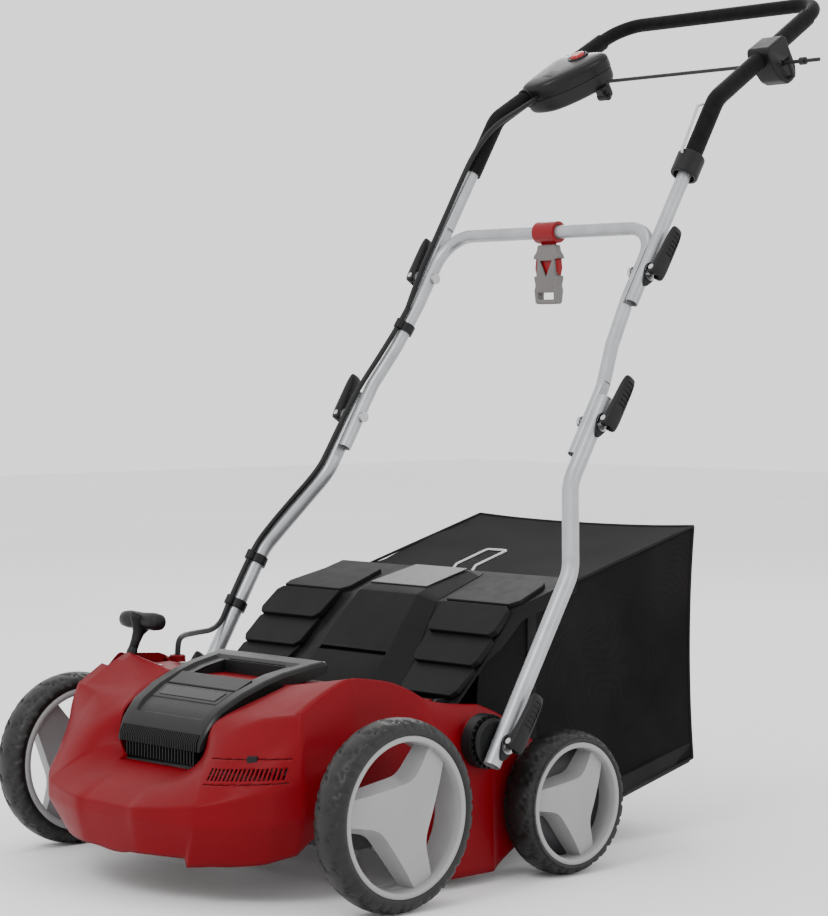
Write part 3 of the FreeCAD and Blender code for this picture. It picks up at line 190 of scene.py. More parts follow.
def metal(name, colour, rough, scratch=0.12, metallic=1.0, grain=0.08, stretch=(1, 1, 1)):
    """Metal with fine drawn scratches and slight clouding."""
    made = Shader(name, rough, metallic)
    dark, light = tints(colour, 0.1)
    made.colour(made.ramp(made.noise(35, 5), [(0.3, dark), (0.7, light)]))
    made.roughness(made.noise(420, 4, stretch=stretch), rough - 0.06, rough + scratch)
    made.bump(made.noise(900, 3, stretch=stretch), grain, 0.0002)
    return made.material


def tyre_rubber():
    """Near-black rubber with a cloudy sheen."""
    made = Shader("tyre_rubber", 0.5, shine=0.34)
    cloud = made.noise(40, 6, 0.65)
    made.colour(made.ramp(cloud, [(0.3, (0.004, 0.004, 0.004)), (0.75, (0.011, 0.011, 0.0105))]))
    made.roughness(made.noise(120, 4), 0.34, 0.56)
    made.bump(made.noise(1100, 4), 0.15, 0.0002)
    return made.material


def foam(name):
    """Matt black foam with a coarse grain."""
    made = Shader(name, 0.56, shine=0.08)
    cloud = made.noise(80, 6)
    made.colour(made.ramp(cloud, [(0.3, (0.0025, 0.0025, 0.0025)), (0.7, (0.006, 0.006, 0.0065))]))
    made.bump(made.noise(2200, 4, 0.7), 0.5, 0.0004)
    return made.material


def woven(name, dark, light, threads, sheen):
    """Open woven mesh: warp and weft bands, with fading where it is stretched."""
    made = Shader(name, 0.78, sheen=sheen, shine=0.1)
    density = threads / 6.28
    warp = made.maths("ADD", made.wave(density, "Z"), made.wave(density, "Y"))
    weave = made.maths("MULTIPLY", made.maths("ADD", warp, made.wave(density, "X")), 0.34)
    shade = made.maths("ADD", made.maths("MULTIPLY", weave, 0.5), 0.6)
    cloud = made.maths("MULTIPLY", made.noise(9, 5), shade)
    made.colour(made.ramp(cloud, [(0.2, dark), (0.75, light)]))
    made.bump(weave, 0.5, 0.0006)
    return made.material


RED = moulded("housing_red", (0.150, 0.0002, 0.0040), 0.40, spread=0.06, grain=0.06, shine=0.10)
BLACK = moulded("black_plastic", (0.0055, 0.0055, 0.006), 0.44, spread=0.2, shine=0.22)
GLOSSY = moulded("cover_plastic", (0.006, 0.0056, 0.0056), 0.28, spread=0.2, grain=0.06, shine=0.24)
FLAP_BLACK = moulded("flap_plastic", (0.0068, 0.0064, 0.0064), 0.52, spread=0.2, grain=0.3, grain_scale=900,
                     shine=0.10)
# Painted highlight: a lighter grey for the flap's flat raised top, where the light falls on it.
CROWN_PAINTED_HIGHLIGHT = moulded("flap_crown_painted_highlight", (0.048, 0.044, 0.044), 0.34, spread=0.1, grain=0.1, shine=0.5)
DARK = moulded("dark_plastic", (0.012, 0.011, 0.0115), 0.42, spread=0.15, shine=0.22)
BADGE = moulded("badge_black", (0.002, 0.002, 0.002), 0.16, spread=0.2, grain=0.03, shine=0.4)
RIM = moulded("rim_plastic", (0.27, 0.27, 0.275), 0.34, spread=0.05, grain=0.10)
# Painted shade: a dark grey for the closed backs of the rear rims, standing in for the shade inside the spoke
# windows.
RIM_PAINTED_SHADE = moulded("rim_recess_painted_shade", (0.03, 0.03, 0.032), 0.5, spread=0.08)
GREY = moulded("buckle_grey", (0.13, 0.122, 0.118), 0.42, spread=0.1)
BUCKLE_RED = moulded("buckle_red", (0.20, 0.0015, 0.005), 0.35, spread=0.1, shine=0.25)
BUTTON = moulded("button_red", (0.30, 0.002, 0.004), 0.25, spread=0.08, coat=0.2)
LEAD = moulded("lead_rubber", (0.006, 0.006, 0.0065), 0.45, spread=0.2, grain=0.2, shine=0.25)
SILVER = metal("silver_lacquer", (0.36, 0.37, 0.385), 0.34, metallic=0.6, grain=0.02, stretch=(1, 1, 0.2))
STEEL = metal("zinc_steel", (0.50, 0.50, 0.51), 0.28)
BLACK_STEEL = metal("black_steel", (0.02, 0.02, 0.022), 0.42, metallic=0.5)
PULLEY = metal("turned_aluminium", (0.60, 0.60, 0.62), 0.25, stretch=(0.1, 1, 1))
LAMINATE = metal("laminated_core", (0.40, 0.28, 0.16), 0.5, stretch=(8, 0.3, 0.3))
RUBBER = tyre_rubber()
FOAM = foam("grip_foam")
BAG = woven("bag_mesh", (0.0016, 0.0014, 0.0014), (0.012, 0.0105, 0.0105), threads=2600, sheen=0.01)
HEM = woven("bag_hem", (0.008, 0.008, 0.008), (0.024, 0.024, 0.024), threads=5200, sheen=0.02)

NODE_MATERIALS = {
    RED: ("housing", "rear_deck"),
    GLOSSY: ("motor_cover",),
    BLACK: ("toothed_discs", "handle_feet", "motor_fan", "depth_lever", "depth_lever_grip",
            "bail_bracket", "cable_clips_lower", "cable_clip_middle", "bag_base"),
    FLAP_BLACK: ("chute_flap",),
    DARK: ("switch_box_lid", "switch_box_base"),
    STEEL: ("deck_screws", "rear_axle_stubs", "flap_hinge_rod", "rotor_bearings", "rotor_shaft",
            "rotor_blades", "rotor_spacers", "base_clamp_bolts", "lower_joint_clamp_bolts",
            "upper_joint_clamp_bolts", "bag_frame_wire", "cord_relief"),
    BLACK_STEEL: ("inner_frame", "motor_case", "front_axle_crank", "bail_bar"),
    LEAD: ("drive_belt", "cable_lower", "cable_middle", "cable_upper"),
    PULLEY: ("rotor_pulley", "motor_pulley"),
    LAMINATE: ("motor_armature",),
    RUBBER: [f"{end}_wheel_{side}_tyre" for end in ("front", "rear") for side, _ in SIDES],
    RIM: [f"{end}_wheel_{side}_rim" for end in ("front", "rear") for side, _ in SIDES],
    SILVER: ("lower_tubes", "middle_handle", "upper_handle"),
    FOAM: ("handle_grips",),
    BAG: ("bag_fabric",),
    GREY: ("buckle_body",),
    BUCKLE_RED: ("buckle_hook",),
    BUTTON: ("safety_button",),
}
CLAMPS = ("base", "lower_joint", "upper_joint")
NODE_MATERIALS[BLACK] += tuple(f"{clamp}_lever_{side}" for clamp in CLAMPS for side, _ in SIDES)


def dress(node, material):
    """Gives a CAD node its material."""
    mesh = frame["nodes"][node].data
    mesh.materials.clear()
    mesh.materials.append(material)


for material, names in NODE_MATERIALS.items():
    for name in names:
        dress(name, material)


# --- mesh helpers ---
def piece(name, mesh_or_curve, material, body, smooth=True):
    """A named object with its material, riding on a CAD body."""
    made = bpy.data.objects.new(name, mesh_or_curve)
    bpy.context.scene.collection.objects.link(made)
    mesh_or_curve.materials.append(material)
    if smooth and hasattr(mesh_or_curve, "shade_smooth"):
        mesh_or_curve.shade_smooth()
    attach(made, body)
    return made


def smooth_step(low, high, value):
    """Rises smoothly from 0 at low to 1 at high."""
    share = min(1.0, max(0.0, (value - low) / (high - low)))
    return share * share * (3 - 2 * share)


def circle(radius, steps, first=0.0):
    """Points (across, up) evenly round a circle."""
    turns = [first + 2 * math.pi * step / steps for step in range(steps)]
    return [(radius * math.cos(turn), radius * math.sin(turn)) for turn in turns]


def mesh_from(name, points, faces):
    """A mesh from its points and faces, with its faces turned outwards."""
    mesh = bpy.data.meshes.new(name)
    mesh.from_pydata([tuple(point) for point in points], [], faces)
    return tidy_mesh(mesh)


def tidy_mesh(mesh, join=0.0, capped_rings=()):
    """Caps the rings of vertices that are given, joins near vertices, and turns all faces outwards."""
    work = bmesh.new()
    work.from_mesh(mesh)
    work.verts.ensure_lookup_table()
    for ring in capped_rings:
        work.faces.new([work.verts[index] for index in ring])
    if join:
        bmesh.ops.remove_doubles(work, verts=work.verts, dist=join)
    bmesh.ops.recalc_face_normals(work, faces=work.faces)
    work.to_mesh(mesh)
    work.free()
    return mesh


def solidify(made, thickness):
    """Gives a skin a wall that grows inwards."""
    wall = made.modifiers.new("wall", "SOLIDIFY")
    wall.thickness = thickness * MM
    wall.offset = -1


def skin(name, rings, closed=True, capped=True):
    """A mesh through rings of equally many points."""
    count = len(rings[0])
    points = [point for ring in rings for point in ring]
    faces = []
    for row in range(len(rings) - 1):
        for number in range(count if closed else count - 1):
            following = (number + 1) % count
            faces.append((row * count + number, row * count + following,
                          (row + 1) * count + following, (row + 1) * count + number))
    if capped:
        faces.append(tuple(range(count)))
        faces.append(tuple(range((len(rings) - 1) * count, len(rings) * count)))
    return mesh_from(name, points, faces)


def slab(name, outline, low, high, place):
    """A prism: place(u, v, w) gives a point, for the outline's (u, v) at two depths w."""
    return skin(name, [[place(u, v, w) for u, v in outline] for w in (low, high)])


def side_view(u, v, w):
    """Places an outline drawn as (y, z) at depths along X."""
    return at(w, u, v)


def front_view(u, v, w):
    """Places an outline drawn as (x, z) at depths along Y."""
    return at(u, w, v)


def lathe(name, profile, centre, steps=96, side=1):
    """A closed profile of (along, radius) turned about a line along X."""
    rings = [[centre + Vector((side * along, radius * across, radius * up)) * MM for along, radius in profile]
             for across, up in circle(1, steps)]
    return tidy_mesh(skin(name, rings + rings[:1], capped=False), join=1e-6)


def merged(name, meshes):
    """Several meshes as one."""
    work = bmesh.new()
    for mesh in meshes:
        work.from_mesh(mesh)
    mesh = bpy.data.meshes.new(name)
    work.to_mesh(mesh)
    work.free()
    return mesh


def bevel(made, width, segments=3, angle=30):
    """Rounds the edges that are sharper than an angle."""
    modifier = made.modifiers.new("edges", "BEVEL")
    modifier.width = width * MM
    modifier.segments = segments
    modifier.limit_method = "ANGLE"
    modifier.angle_limit = math.radians(angle)
    modifier.harden_normals = False
    return made


def even(made):
    """Flat faces keep flat shading beside rounded edges."""
    modifier = made.modifiers.new("normals", "WEIGHTED_NORMAL")
    modifier.keep_sharp = False
    return made


def rounded(made, width, segments=3, angle=30):
    """Rounds the edges and keeps the flat faces flat."""
    return even(bevel(made, width, segments, angle))


def rounded_piece(name, meshes, material, body, width, segments=2, angle=30):
    """One piece made of several meshes, with its edges rounded."""
    return rounded(piece(name, merged(name, meshes), material, body), width, segments, angle)


def subdivide(made, levels):
    """Smooths a coarse cage, except where its edges are creased."""
    modifier = made.modifiers.new("smooth", "SUBSURF")
    modifier.levels = levels
    modifier.render_levels = levels
    return made


def tube_curve(name, points, radius):
    """A round cord on one smooth curve, with the route's points as its control points."""
    curve = bpy.data.curves.new(name, "CURVE")
    curve.dimensions = "3D"
    curve.bevel_depth = radius * MM
    curve.bevel_resolution = 5
    curve.use_fill_caps = True
    spline = curve.splines.new("NURBS")
    spline.points.add(len(points) - 1)
    for control, point in zip(spline.points, points):
        control.co = (*point, 1)
    spline.order_u = 3
    spline.use_endpoint_u = True
    spline.resolution_u = 10
    return curve


def cut_out(made, cutters, tangled=False):
    """Cuts closed meshes out of a piece, and leaves nothing of the cutters behind."""
    for cutter_mesh in cutters:
        cutter = bpy.data.objects.new("cutter", cutter_mesh)
        bpy.context.scene.collection.objects.link(cutter)
        modifier = made.modifiers.new("opening", "BOOLEAN")
        modifier.operation = "DIFFERENCE"
        modifier.solver = "EXACT"
        modifier.use_self = tangled
        modifier.object = cutter
        apply_modifiers(made)
        bpy.data.objects.remove(cutter)
    return made


def apply_modifiers(made):
    """Bakes the modifiers so far into the mesh."""
    evaluated = made.evaluated_get(bpy.context.evaluated_depsgraph_get())
    mesh = bpy.data.meshes.new_from_object(evaluated, preserve_all_data_layers=True,
                                           depsgraph=bpy.context.evaluated_depsgraph_get())
    made.modifiers.clear()
    made.data = mesh
    return made


# --- wheels ---
def tyre(label, body, centre, radius, rim_radius, width, pitches):
    """A tyre with slanted, forked grooves that start near the middle and run out down its walls."""
    half = width / 2
    section = [(-half + 1.5, rim_radius - 0.6), (-half, rim_radius + 2), (-half - 0.2, rim_radius + 6)]
    section += [(-half + 0.4, radius - 9.5), (-half + 1.6, radius - 7), (-half + 3, radius - 5.2)]
    section += [(-half + 5, radius - 3.6), (-half + 7.5, radius - 2.4), (-half + 10, radius - 1.5)]
    section += [(-half + 13, radius - 0.8), (-half + 17, radius - 0.2)]
    section += [(0, radius)]
    section += [(-along, reach) for along, reach in reversed(section[:-1])]
    fine = 16
    rings = []
    for step, (across, up) in enumerate(circle(1, pitches * fine)):
        ring = []
        for along, reach in section:
            spread = abs(along) / half
            phase = (step / fine + 1.5 * spread ** 0.7 + 0.10 * math.sin(11 * spread)) % 1.0
            groove = smooth_step(0.0, 0.07, phase) * (1 - smooth_step(0.13, 0.22, phase))
            fork = smooth_step(0.42, 0.47, phase) * (1 - smooth_step(0.52, 0.58, phase))
            fork *= smooth_step(0.35, 0.6, spread)
            on_tread = smooth_step(rim_radius + 4, radius - 8, reach) * smooth_step(0.06, 0.3, spread)
            sunk = reach - (2.8 * groove + 2.0 * fork) * on_tread
            ring.append(centre + Vector((along, sunk * across, sunk * up)) * MM)
        rings.append(ring)
    mesh = tidy_mesh(skin(label, rings + rings[:1], capped=False), join=2e-6)
    made = piece(label, mesh, RUBBER, body)
    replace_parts(made, label.replace("_tread", "_tyre"))


def window_outline(limit, number):
    """A window between two spokes, as (clockwise angle, radius) turned to (across, up)."""
    turn = math.radians(120 * number)

    def polar(degrees, reach):
        angle = math.radians(degrees) + turn
        return Vector((math.sin(angle), math.cos(angle))) * reach

    start = polar(46, limit + 5)
    end = polar(150, limit + 5)
    corner = polar(136, limit * 0.49)
    outline = [polar(46 + 104 * share / 22, limit + 5) for share in range(23)]
    into = (end - corner).normalized()
    out_of = (start - corner).normalized()
    for share in (0.0, 0.25, 0.5, 0.75, 1.0):
        first = corner + into * limit * 0.16 * (1 - share)
        second = corner + out_of * limit * 0.16 * share
        outline.append(first.lerp(second, share))
    return outline


def rim(label, body, centre, rim_radius, width, side, open_back):
    """A moulded rim: a deep barrel with a bright flange, and a domed face with three swept spokes."""
    outer = width / 2 - 0.6
    barrel = [(-outer, rim_radius), (outer - 0.9, rim_radius), (outer, rim_radius - 0.9)]
    barrel += [(outer + 0.5, rim_radius - 3), (outer, rim_radius - 5.6), (outer - 1.6, rim_radius - 6.6)]
    barrel += [(outer - 12, rim_radius - 7.4), (-outer + 2, rim_radius - 8.6), (-outer, rim_radius - 8.0)]
    hub = [(-outer, 6.1), (-outer, 15), (outer - 22, 18), (outer - 22, 6.1)]
    limit = rim_radius - 6.9
    dome = [(outer - 1.2, 0.0), (outer - 1.4, 16), (outer - 2.4, limit * 0.5), (outer - 4.4, limit * 0.75)]
    dome += [(outer - 7.6, limit + 0.4)]
    disc = [(outer - 25, 0.0), (outer - 25, limit - 0.4)] + dome[::-1]
    made = piece(label, lathe(label, disc, centre, steps=120, side=side), RIM, body)
    cutters = []
    for number in range(3):
        outline = window_outline(limit, number)
        middle = sum(outline, Vector((0, 0))) / len(outline)
        rings = []
        for along, scale in ((outer + 3, 1.03), (outer - 6, 0.985), (outer - 28, 0.80)):
            moved = [middle + (point - middle) * scale for point in outline]
            rings.append([centre + Vector((side * along, side * point.x, point.y)) * MM for point in moved])
        cutters.append(skin("window", rings))
    cut_out(made, cutters)
    rounded(made, 1.5, 3, 34)
    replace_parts(made, label.replace("_face", "_rim"))
    barrel_mesh = merged("barrel", [lathe("barrel", barrel, centre, steps=144, side=side),
                                    lathe("hub", hub, centre, steps=48, side=side)])
    piece(label + "_barrel", barrel_mesh, RIM, body)
    # A closed rim gets a dark plate behind its windows: painted shade in the window recesses.
    if not open_back:
        front, back, edge = outer - 25.2, outer - 27, limit - 0.6
        plate = lathe("back", [(front, 8), (front, edge), (back, edge), (back, 8)], centre, side=side)
        piece(label + "_back", plate, RIM_PAINTED_SHADE, body)


WHEELS = {"front": (105, 87.5, 42, 20), "rear": (83.4, 70.5, 45, 17)}
for end, (radius, rim_radius, width, pitches) in WHEELS.items():
    for side_name, side in SIDES:
        body = f"{end}_wheel_{side_name}"
        centre = joint_place(body + "_spin")
        tyre(body + "_tread", body, centre, radius, rim_radius, width, pitches)
        rim(body + "_face", body, centre, rim_radius, width, side, end == "front")


# --- housing ---
def column(x, y, z):
    """The seven points of a column from its x, y and z values; a single number holds for all seven."""
    return list(zip(*[values if isinstance(values, tuple) else (values,) * 7 for values in (x, y, z)]))


# Columns run round the housing from the middle of its front to its rear. Each column climbs
# from the lower edge over the bumper's crease and the shoulder to the edge beside the cover.
HOUSING_COLUMNS = [
    column(0, (-163, -170, -170, -150, -128, -106, -93), (50, 90, 103, 117, 127, 136, 140)),
    column((22, 24, 24, 24, 24, 24, 24), (-163, -170, -170, -150, -128, -106, -93),
           (50, 90, 103, 117, 127, 136, 140)),
    column((38, 39, 39, 38, 38, 37, 36), (-163, -170, -170, -150, -128, -106, -93),
           (53, 90, 103, 117, 127, 136, 140)),
    column((50, 52, 52, 50, 48, 46, 45), (-162, -171, -171, -150, -128, -106, -93),
           (53, 90, 104, 118, 128, 136, 140)),
    column((78, 90, 90, 84, 78, 70, 62), (-154, -163, -162, -144, -126, -107, -92),
           (53, 91, 107, 121, 131, 138, 141)),
    column((104, 129, 130, 115, 100, 86, 74), (-141, -152, -151, -133, -117, -101, -90),
           (52, 92, 112, 129, 142, 152, 156)),
    column((107, 133, 134, 119, 104, 90, 77), (-140, -150, -149, -131, -114, -98, -88),
           (42, 92, 113, 131, 148, 161, 166)),
    column((128, 153, 154, 135, 117, 98, 80), (-124, -135, -135, -122, -109, -96, -85),
           (44, 92, 117, 138, 158, 175, 188)),
    column((150, 171, 172, 156, 137, 112, 84), (-108, -118, -118, -110, -100, -86, -73),
           (44, 92, 122, 147, 168, 187, 197)),
    column((172, 193, 194, 187, 177, 152, 86), (-84, -93, -93, -89, -82, -66, -60),
           (47, 93, 128, 152, 173, 202, 202)),
    column((192, 211, 212, 211, 208, 200, 90), (-56, -62, -62, -64, -62, -58, -42),
           (56, 98, 137, 162, 186, 209, 209)),
    column((204, 214, 216, 212, 208, 200, 94), (-28, -31, -31, -30, -29, -28, -22),
           (84, 104, 150, 175, 200, 227, 216)),
    column((210, 215, 217, 214, 211, 205, 101), 4, (86, 106, 180, 200, 222, 243, 226)),
    column((211, 215, 217, 214, 211, 205, 104), 11, (86, 106, 181, 201, 223, 244, 229)),
    column((212, 215, 217, 214, 211, 204, 188), 16, (86, 106, 182, 202, 224, 244, 226)),
    column((213, 215, 217, 214, 211, 205, 189), 46, (82, 106, 184, 204, 222, 240, 226)),
    column((215, 216, 217, 215, 212, 206, 190), 76, (62, 102, 184, 200, 216, 234, 222)),
    column((226, 225, 223, 220, 217, 211, 196), 99, (30, 90, 175, 192, 206, 222, 214)),
    column((243, 240, 236, 230, 224, 214, 208), 114, (12, 80, 165, 182, 198, 213, 206)),
    column((243, 241, 238, 232, 226, 214, 208), 140, (12, 80, 162, 178, 192, 205, 198)),
    column((243, 241, 238, 232, 226, 214, 208), 196, (12, 80, 160, 175, 188, 200, 193)),
    column((236, 236, 235, 229, 224, 214, 208), 208, (17, 80, 157, 172, 184, 196, 189)),
    column((234, 234, 234, 228, 222, 212, 208), 240, (34, 84, 148, 162, 173, 184, 178)),
    column((232, 232, 232, 226, 220, 211, 208), 298, (64, 90, 118, 130, 137, 145, 140)),
]


def housing():
    """The red shell, its openings and vents, its bosses and its latch."""
    mirror = [[(-x, y, z) for x, y, z in points] for points in reversed(HOUSING_COLUMNS[1:])]
    for points in mirror:
        x, y, z = points[0]
        if y < -50:
            points[0] = (x, y, max(z, 53 + 0.2 * max(0, y + 141)))
    rings = [[at(*point) for point in points] for points in mirror + HOUSING_COLUMNS]
    mesh = skin("housing_shell", rings, closed=False, capped=False)
    rows = len(HOUSING_COLUMNS[0])
    along_rows = (1.0, 0.5, 0.95, 0.0, 0.0, 1.0, 1.0)
    up_columns = {2: 0.4, 3: 0.3, 5: 0.85, 6: 0.9, 9: 0.95, 10: 1.0, 14: 0.9, 17: 0.6, 18: 0.8, 20: 0.8,
                  23: 1.0}
    store = mesh.attributes.new("crease_edge", "FLOAT", "EDGE")
    last = len(HOUSING_COLUMNS) - 1
    for edge in mesh.edges:
        first, second = edge.vertices
        place = abs(first // rows - last)
        if first % rows == second % rows:
            on_front = max(place, abs(second // rows - last)) < 9 and first % rows == 5
            store.data[edge.index].value = 0.0 if on_front else along_rows[first % rows]
        elif first // rows == second // rows:
            store.data[edge.index].value = up_columns.get(place, 0.0)
    made = piece("housing_shell", mesh, RED, "base")
    subdivide(made, 3)
    solidify(made, 3)
    apply_modifiers(made)
    vents_start = Vector((120, -121, 137))
    along = Vector((80, 45, 5)) / 92
    inward = Vector((-0.49, 0.87, 0))

    def on_flank(u, v, w):
        return at(*(vents_start + along * u + inward * w + Vector((0, 0, v))))

    cutters = []
    for side in (-1, 1):
        for y, z, radius in ((-28, 128, 7), (290.4, 83.4, 8)):
            bore = [(y + across, z + up) for across, up in circle(radius, 24, math.radians(11))]
            cutters.append(slab("axle_cut", bore, side * 190, side * 251, side_view))
    for number in range(18):
        start = 5.1 * number
        vent = [(start, 0), (start + 2.5, 0), (start + 5.5, 12), (start + 3, 12)]
        cutters.append(slab("vent", vent, -14, 22, on_flank))
    cutters.append(slab("vent_line", [(-2, -4.2), (94, -4.2), (94, -3.4), (-2, -3.4)], -14, 22, on_flank))
    cutters.append(slab("panel_line", [(0, 21), (96, 21), (96, 21.8), (0, 21.8)], -14, 40, on_flank))
    cutters.append(slab("finger_cut", [(-60, 138), (60, 138), (70, 167), (-70, 167)], -108, -58,
                        front_view))
    cutters.append(slab("lever_cut", [(-206, -22), (-190, -22), (-190, 77), (-206, 77)], 208, 270,
                        at))
    cut_out(made, [merged("openings", cutters)], tangled=True)
    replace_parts(made, "housing")
    boss = [(-2, 8), (-2, 25), (23, 24), (25, 22.5), (25, 8)]
    bosses = [lathe("boss", boss, at(side * 214, 177, 163), side=side) for side in (-1, 1)]
    rings = [[at(-200 + across, 92 + up, z) for across, up in circle(radius, 32)]
             for radius, z in ((10.5, 214), (10, 229), (9, 231), (4, 231), (4, 214))]
    bosses.append(skin("collar", rings + rings[:1], capped=False))
    rounded_piece("housing_bosses", bosses, RED, "base", 0.8, angle=40)
    latch = slab("latch", [(45, 17.5), (57, 17.5), (57, 25), (45, 25)], 0, 14, on_flank)
    rounded_piece("housing_latch", [latch], BLACK, "base", 0.8)


housing()


# --- motor cover ---
COVER_ROWS = [
    (-95, 73, 159, 168, 0), (-91, 75, 161, 177, 0), (-86, 77, 172, 186, 0), (-80, 78, 184, 193, 0.6),
    (-77, 78.5, 187, 196, 3.6), (-68, 80, 194, 205, 4), (-40, 84, 205, 220, 4), (-8, 87, 217, 232, 4),
    (16, 89, 224, 239, 4), (50, 92, 228, 245, 4), (55, 92.5, 229, 246, 0.6), (70, 95, 234, 248.4, 0),
    (75, 95, 236, 248, 0),
]


def motor_cover():
    """The glossy cover with its carry opening, trims, front ribs and intake."""
    rings = []
    for y, half, low, high, sunk in COVER_ROWS:
        right = [(half, low), (half, high - 4.5), (half - 2.5, high - 1.2), (half - 5, high)]
        right += [(half - 18, high - 0.2), (half - 20.5, high - sunk), (half * 0.4, high - sunk)]
        right += [(0, high - sunk)]
        around = right + [(-x, z) for x, z in reversed(right[:-1])]
        rings.append([at(x, y, z) for x, z in around])
    mesh = skin("cover_shell", rings, closed=False, capped=False)
    count = len(rings[0])
    last = (len(rings) - 1) * count
    tidy_mesh(mesh, capped_rings=(range(count), range(last, last + count)))
    made = piece("cover_shell", mesh, GLOSSY, "base")
    solidify(made, 2.6)
    rounded(made, 1.6, 3, 24)
    apply_modifiers(made)
    opening = [(-52, -8), (52, -8), (56, 46), (50, 51), (-50, 51), (-56, 46)]
    cut_out(made, [slab("carry_cut", opening, 200, 270, at)])
    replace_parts(made, "motor_cover")

    def on_panel(low, rise):
        return lambda u, v, w: at(u, v, low + rise * (v + 68) + w)

    trim = [slab("cross_bar", [(-61, -32), (61, -32), (63, -9), (-63, -9)], -3, 3.4, on_panel(201, 0.46)),
            slab("badge_frame", [(-58, -58), (58, -58), (61, -35), (-61, -35)], -2, 1.3, on_panel(201, 0.53))]
    rounded_piece("cover_trim", trim, GLOSSY, "base", 1.0, 3)
    badge = slab("cover_badge", [(-50, -54), (50, -54), (53, -39), (-53, -39)], 1.2, 2.2, on_panel(201, 0.53))
    rounded_piece("cover_badge", [badge], BADGE, "base", 0.5)
    well_side = [(-8, 226), (46, 240), (46, 214), (-8, 205)]
    well = [slab("well_side", well_side, side * 56.5, side * 54.5, side_view) for side in (-1, 1)]
    well.append(slab("well_back", [(-56, 212), (56, 212), (56, 241), (-56, 241)], 46.5, 48.5,
                     front_view))
    well.append(slab("well_front", [(-54, 203), (54, 203), (54, 226), (-54, 226)], -10.5, -8.2,
                     front_view))
    piece("cover_well", merged("cover_well", well), BLACK, "base", smooth=False)
    well_floor = slab("well_floor", [(-9, 203), (48, 214), (48, 216), (-9, 205)], -56, 56, side_view)
    piece("cover_floor", well_floor, RED, "base", smooth=False)
    ribs = []
    for number in range(45):
        x = -68 + 136 * number / 44
        rib = [(-96.4, 159.5), (-96.4, 169), (-91.8, 177.8), (-89.5, 177.8), (-91, 159.5)]
        ribs.append(slab("rib", rib, x - 0.75, x + 0.75, side_view))
    for number in range(23):
        x = -60 + 120 * number / 22
        ribs.append(slab("rib", [(-93, 143), (-93, 158), (-60, 160), (-60, 143)], x - 0.9, x + 0.9,
                         side_view))
    piece("cover_ribs", merged("cover_ribs", ribs), BLACK, "base", smooth=False)
    back_wall = slab("recess_wall", [(-66, -62), (66, -62), (66, -59.5), (-66, -59.5)], 142, 187,
                     at)
    piece("cover_recess", back_wall, BLACK, "base", smooth=False)


motor_cover()


# --- chute flap ---
FLAP_LINE = [(170, 201), (212, 241), (239, 272), (269, 304), (372, 333)]


def flap_panel(start, end, near, far, thickness, lift):
    """A moulded panel of the flap; near and far are its inner and outer edges at start and end."""
    start, end = Vector(start), Vector(end)
    along = (end - start).normalized()
    normal = Vector((-along.y, along.x))
    outline = [(near[0] + 5, 0), (far[0] - 6, 0), (far[0], 0.18), (far[1], 0.86), (far[1] - 7, 1)]
    outline += [(near[1], 1), (near[0] - 2, 0.16)]

    def place(u, v, w):
        point = start + (end - start) * v + normal * (w + lift * (1 - v))
        return at(u, point.x, point.y)

    return slab("panel", outline, -2.6, thickness, place)


def mirrored(mesh):
    """The same mesh on the other side of the machine's middle."""
    work = bmesh.new()
    work.from_mesh(mesh)
    for vertex in work.verts:
        vertex.co.x = -vertex.co.x
    bmesh.ops.reverse_faces(work, faces=work.faces)
    other = bpy.data.meshes.new(mesh.name)
    work.to_mesh(other)
    work.free()
    return other


# The raised middle of the flap: y, z, height above the sheet, half-width at its top and at its foot.
RIDGE_ROWS = [
    (171, 202, 8, 63, 106), (212, 241, 11, 60, 98), (239, 272, 12, 56, 87), (267, 302, 12, 51.5, 77),
    (277, 306.2, 12, 50, 75), (352, 327.4, 7.5, 46, 64), (364, 330.8, 2, 45, 60),
]


def flap_ridge():
    """The raised middle: a flat face between two slanted flanks, stepped where its lower panel starts."""
    rings = []
    for number, (y, z, height, top, foot) in enumerate(RIDGE_ROWS):
        before = Vector(RIDGE_ROWS[max(0, number - 1)][:2])
        after = Vector(RIDGE_ROWS[min(len(RIDGE_ROWS) - 1, number + 1)][:2])
        along = (after - before).normalized()
        normal = Vector((-along.y, along.x))
        ring = []
        for x, rise in ((-foot, -2), (-foot, 0.6), (-top, height), (top, height), (foot, 0.6), (foot, -2)):
            ring.append(at(x, y + normal.x * rise, z + normal.y * rise))
        rings.append(ring)
    made = piece("flap_ridge", skin("flap_ridge", rings), FLAP_BLACK, "flap")
    rounded(made, 1.6, 3, 14)
    apply_modifiers(made)
    gap = slab("gap", [(-58.5, -3), (58.5, -3), (58, 3), (-58, 3)], 4.5, 16,
               lambda u, v, w: at(u, 208 + 0.69 * v - 0.72 * w, 237 + 0.72 * v + 0.69 * w))
    cut_out(made, [gap])


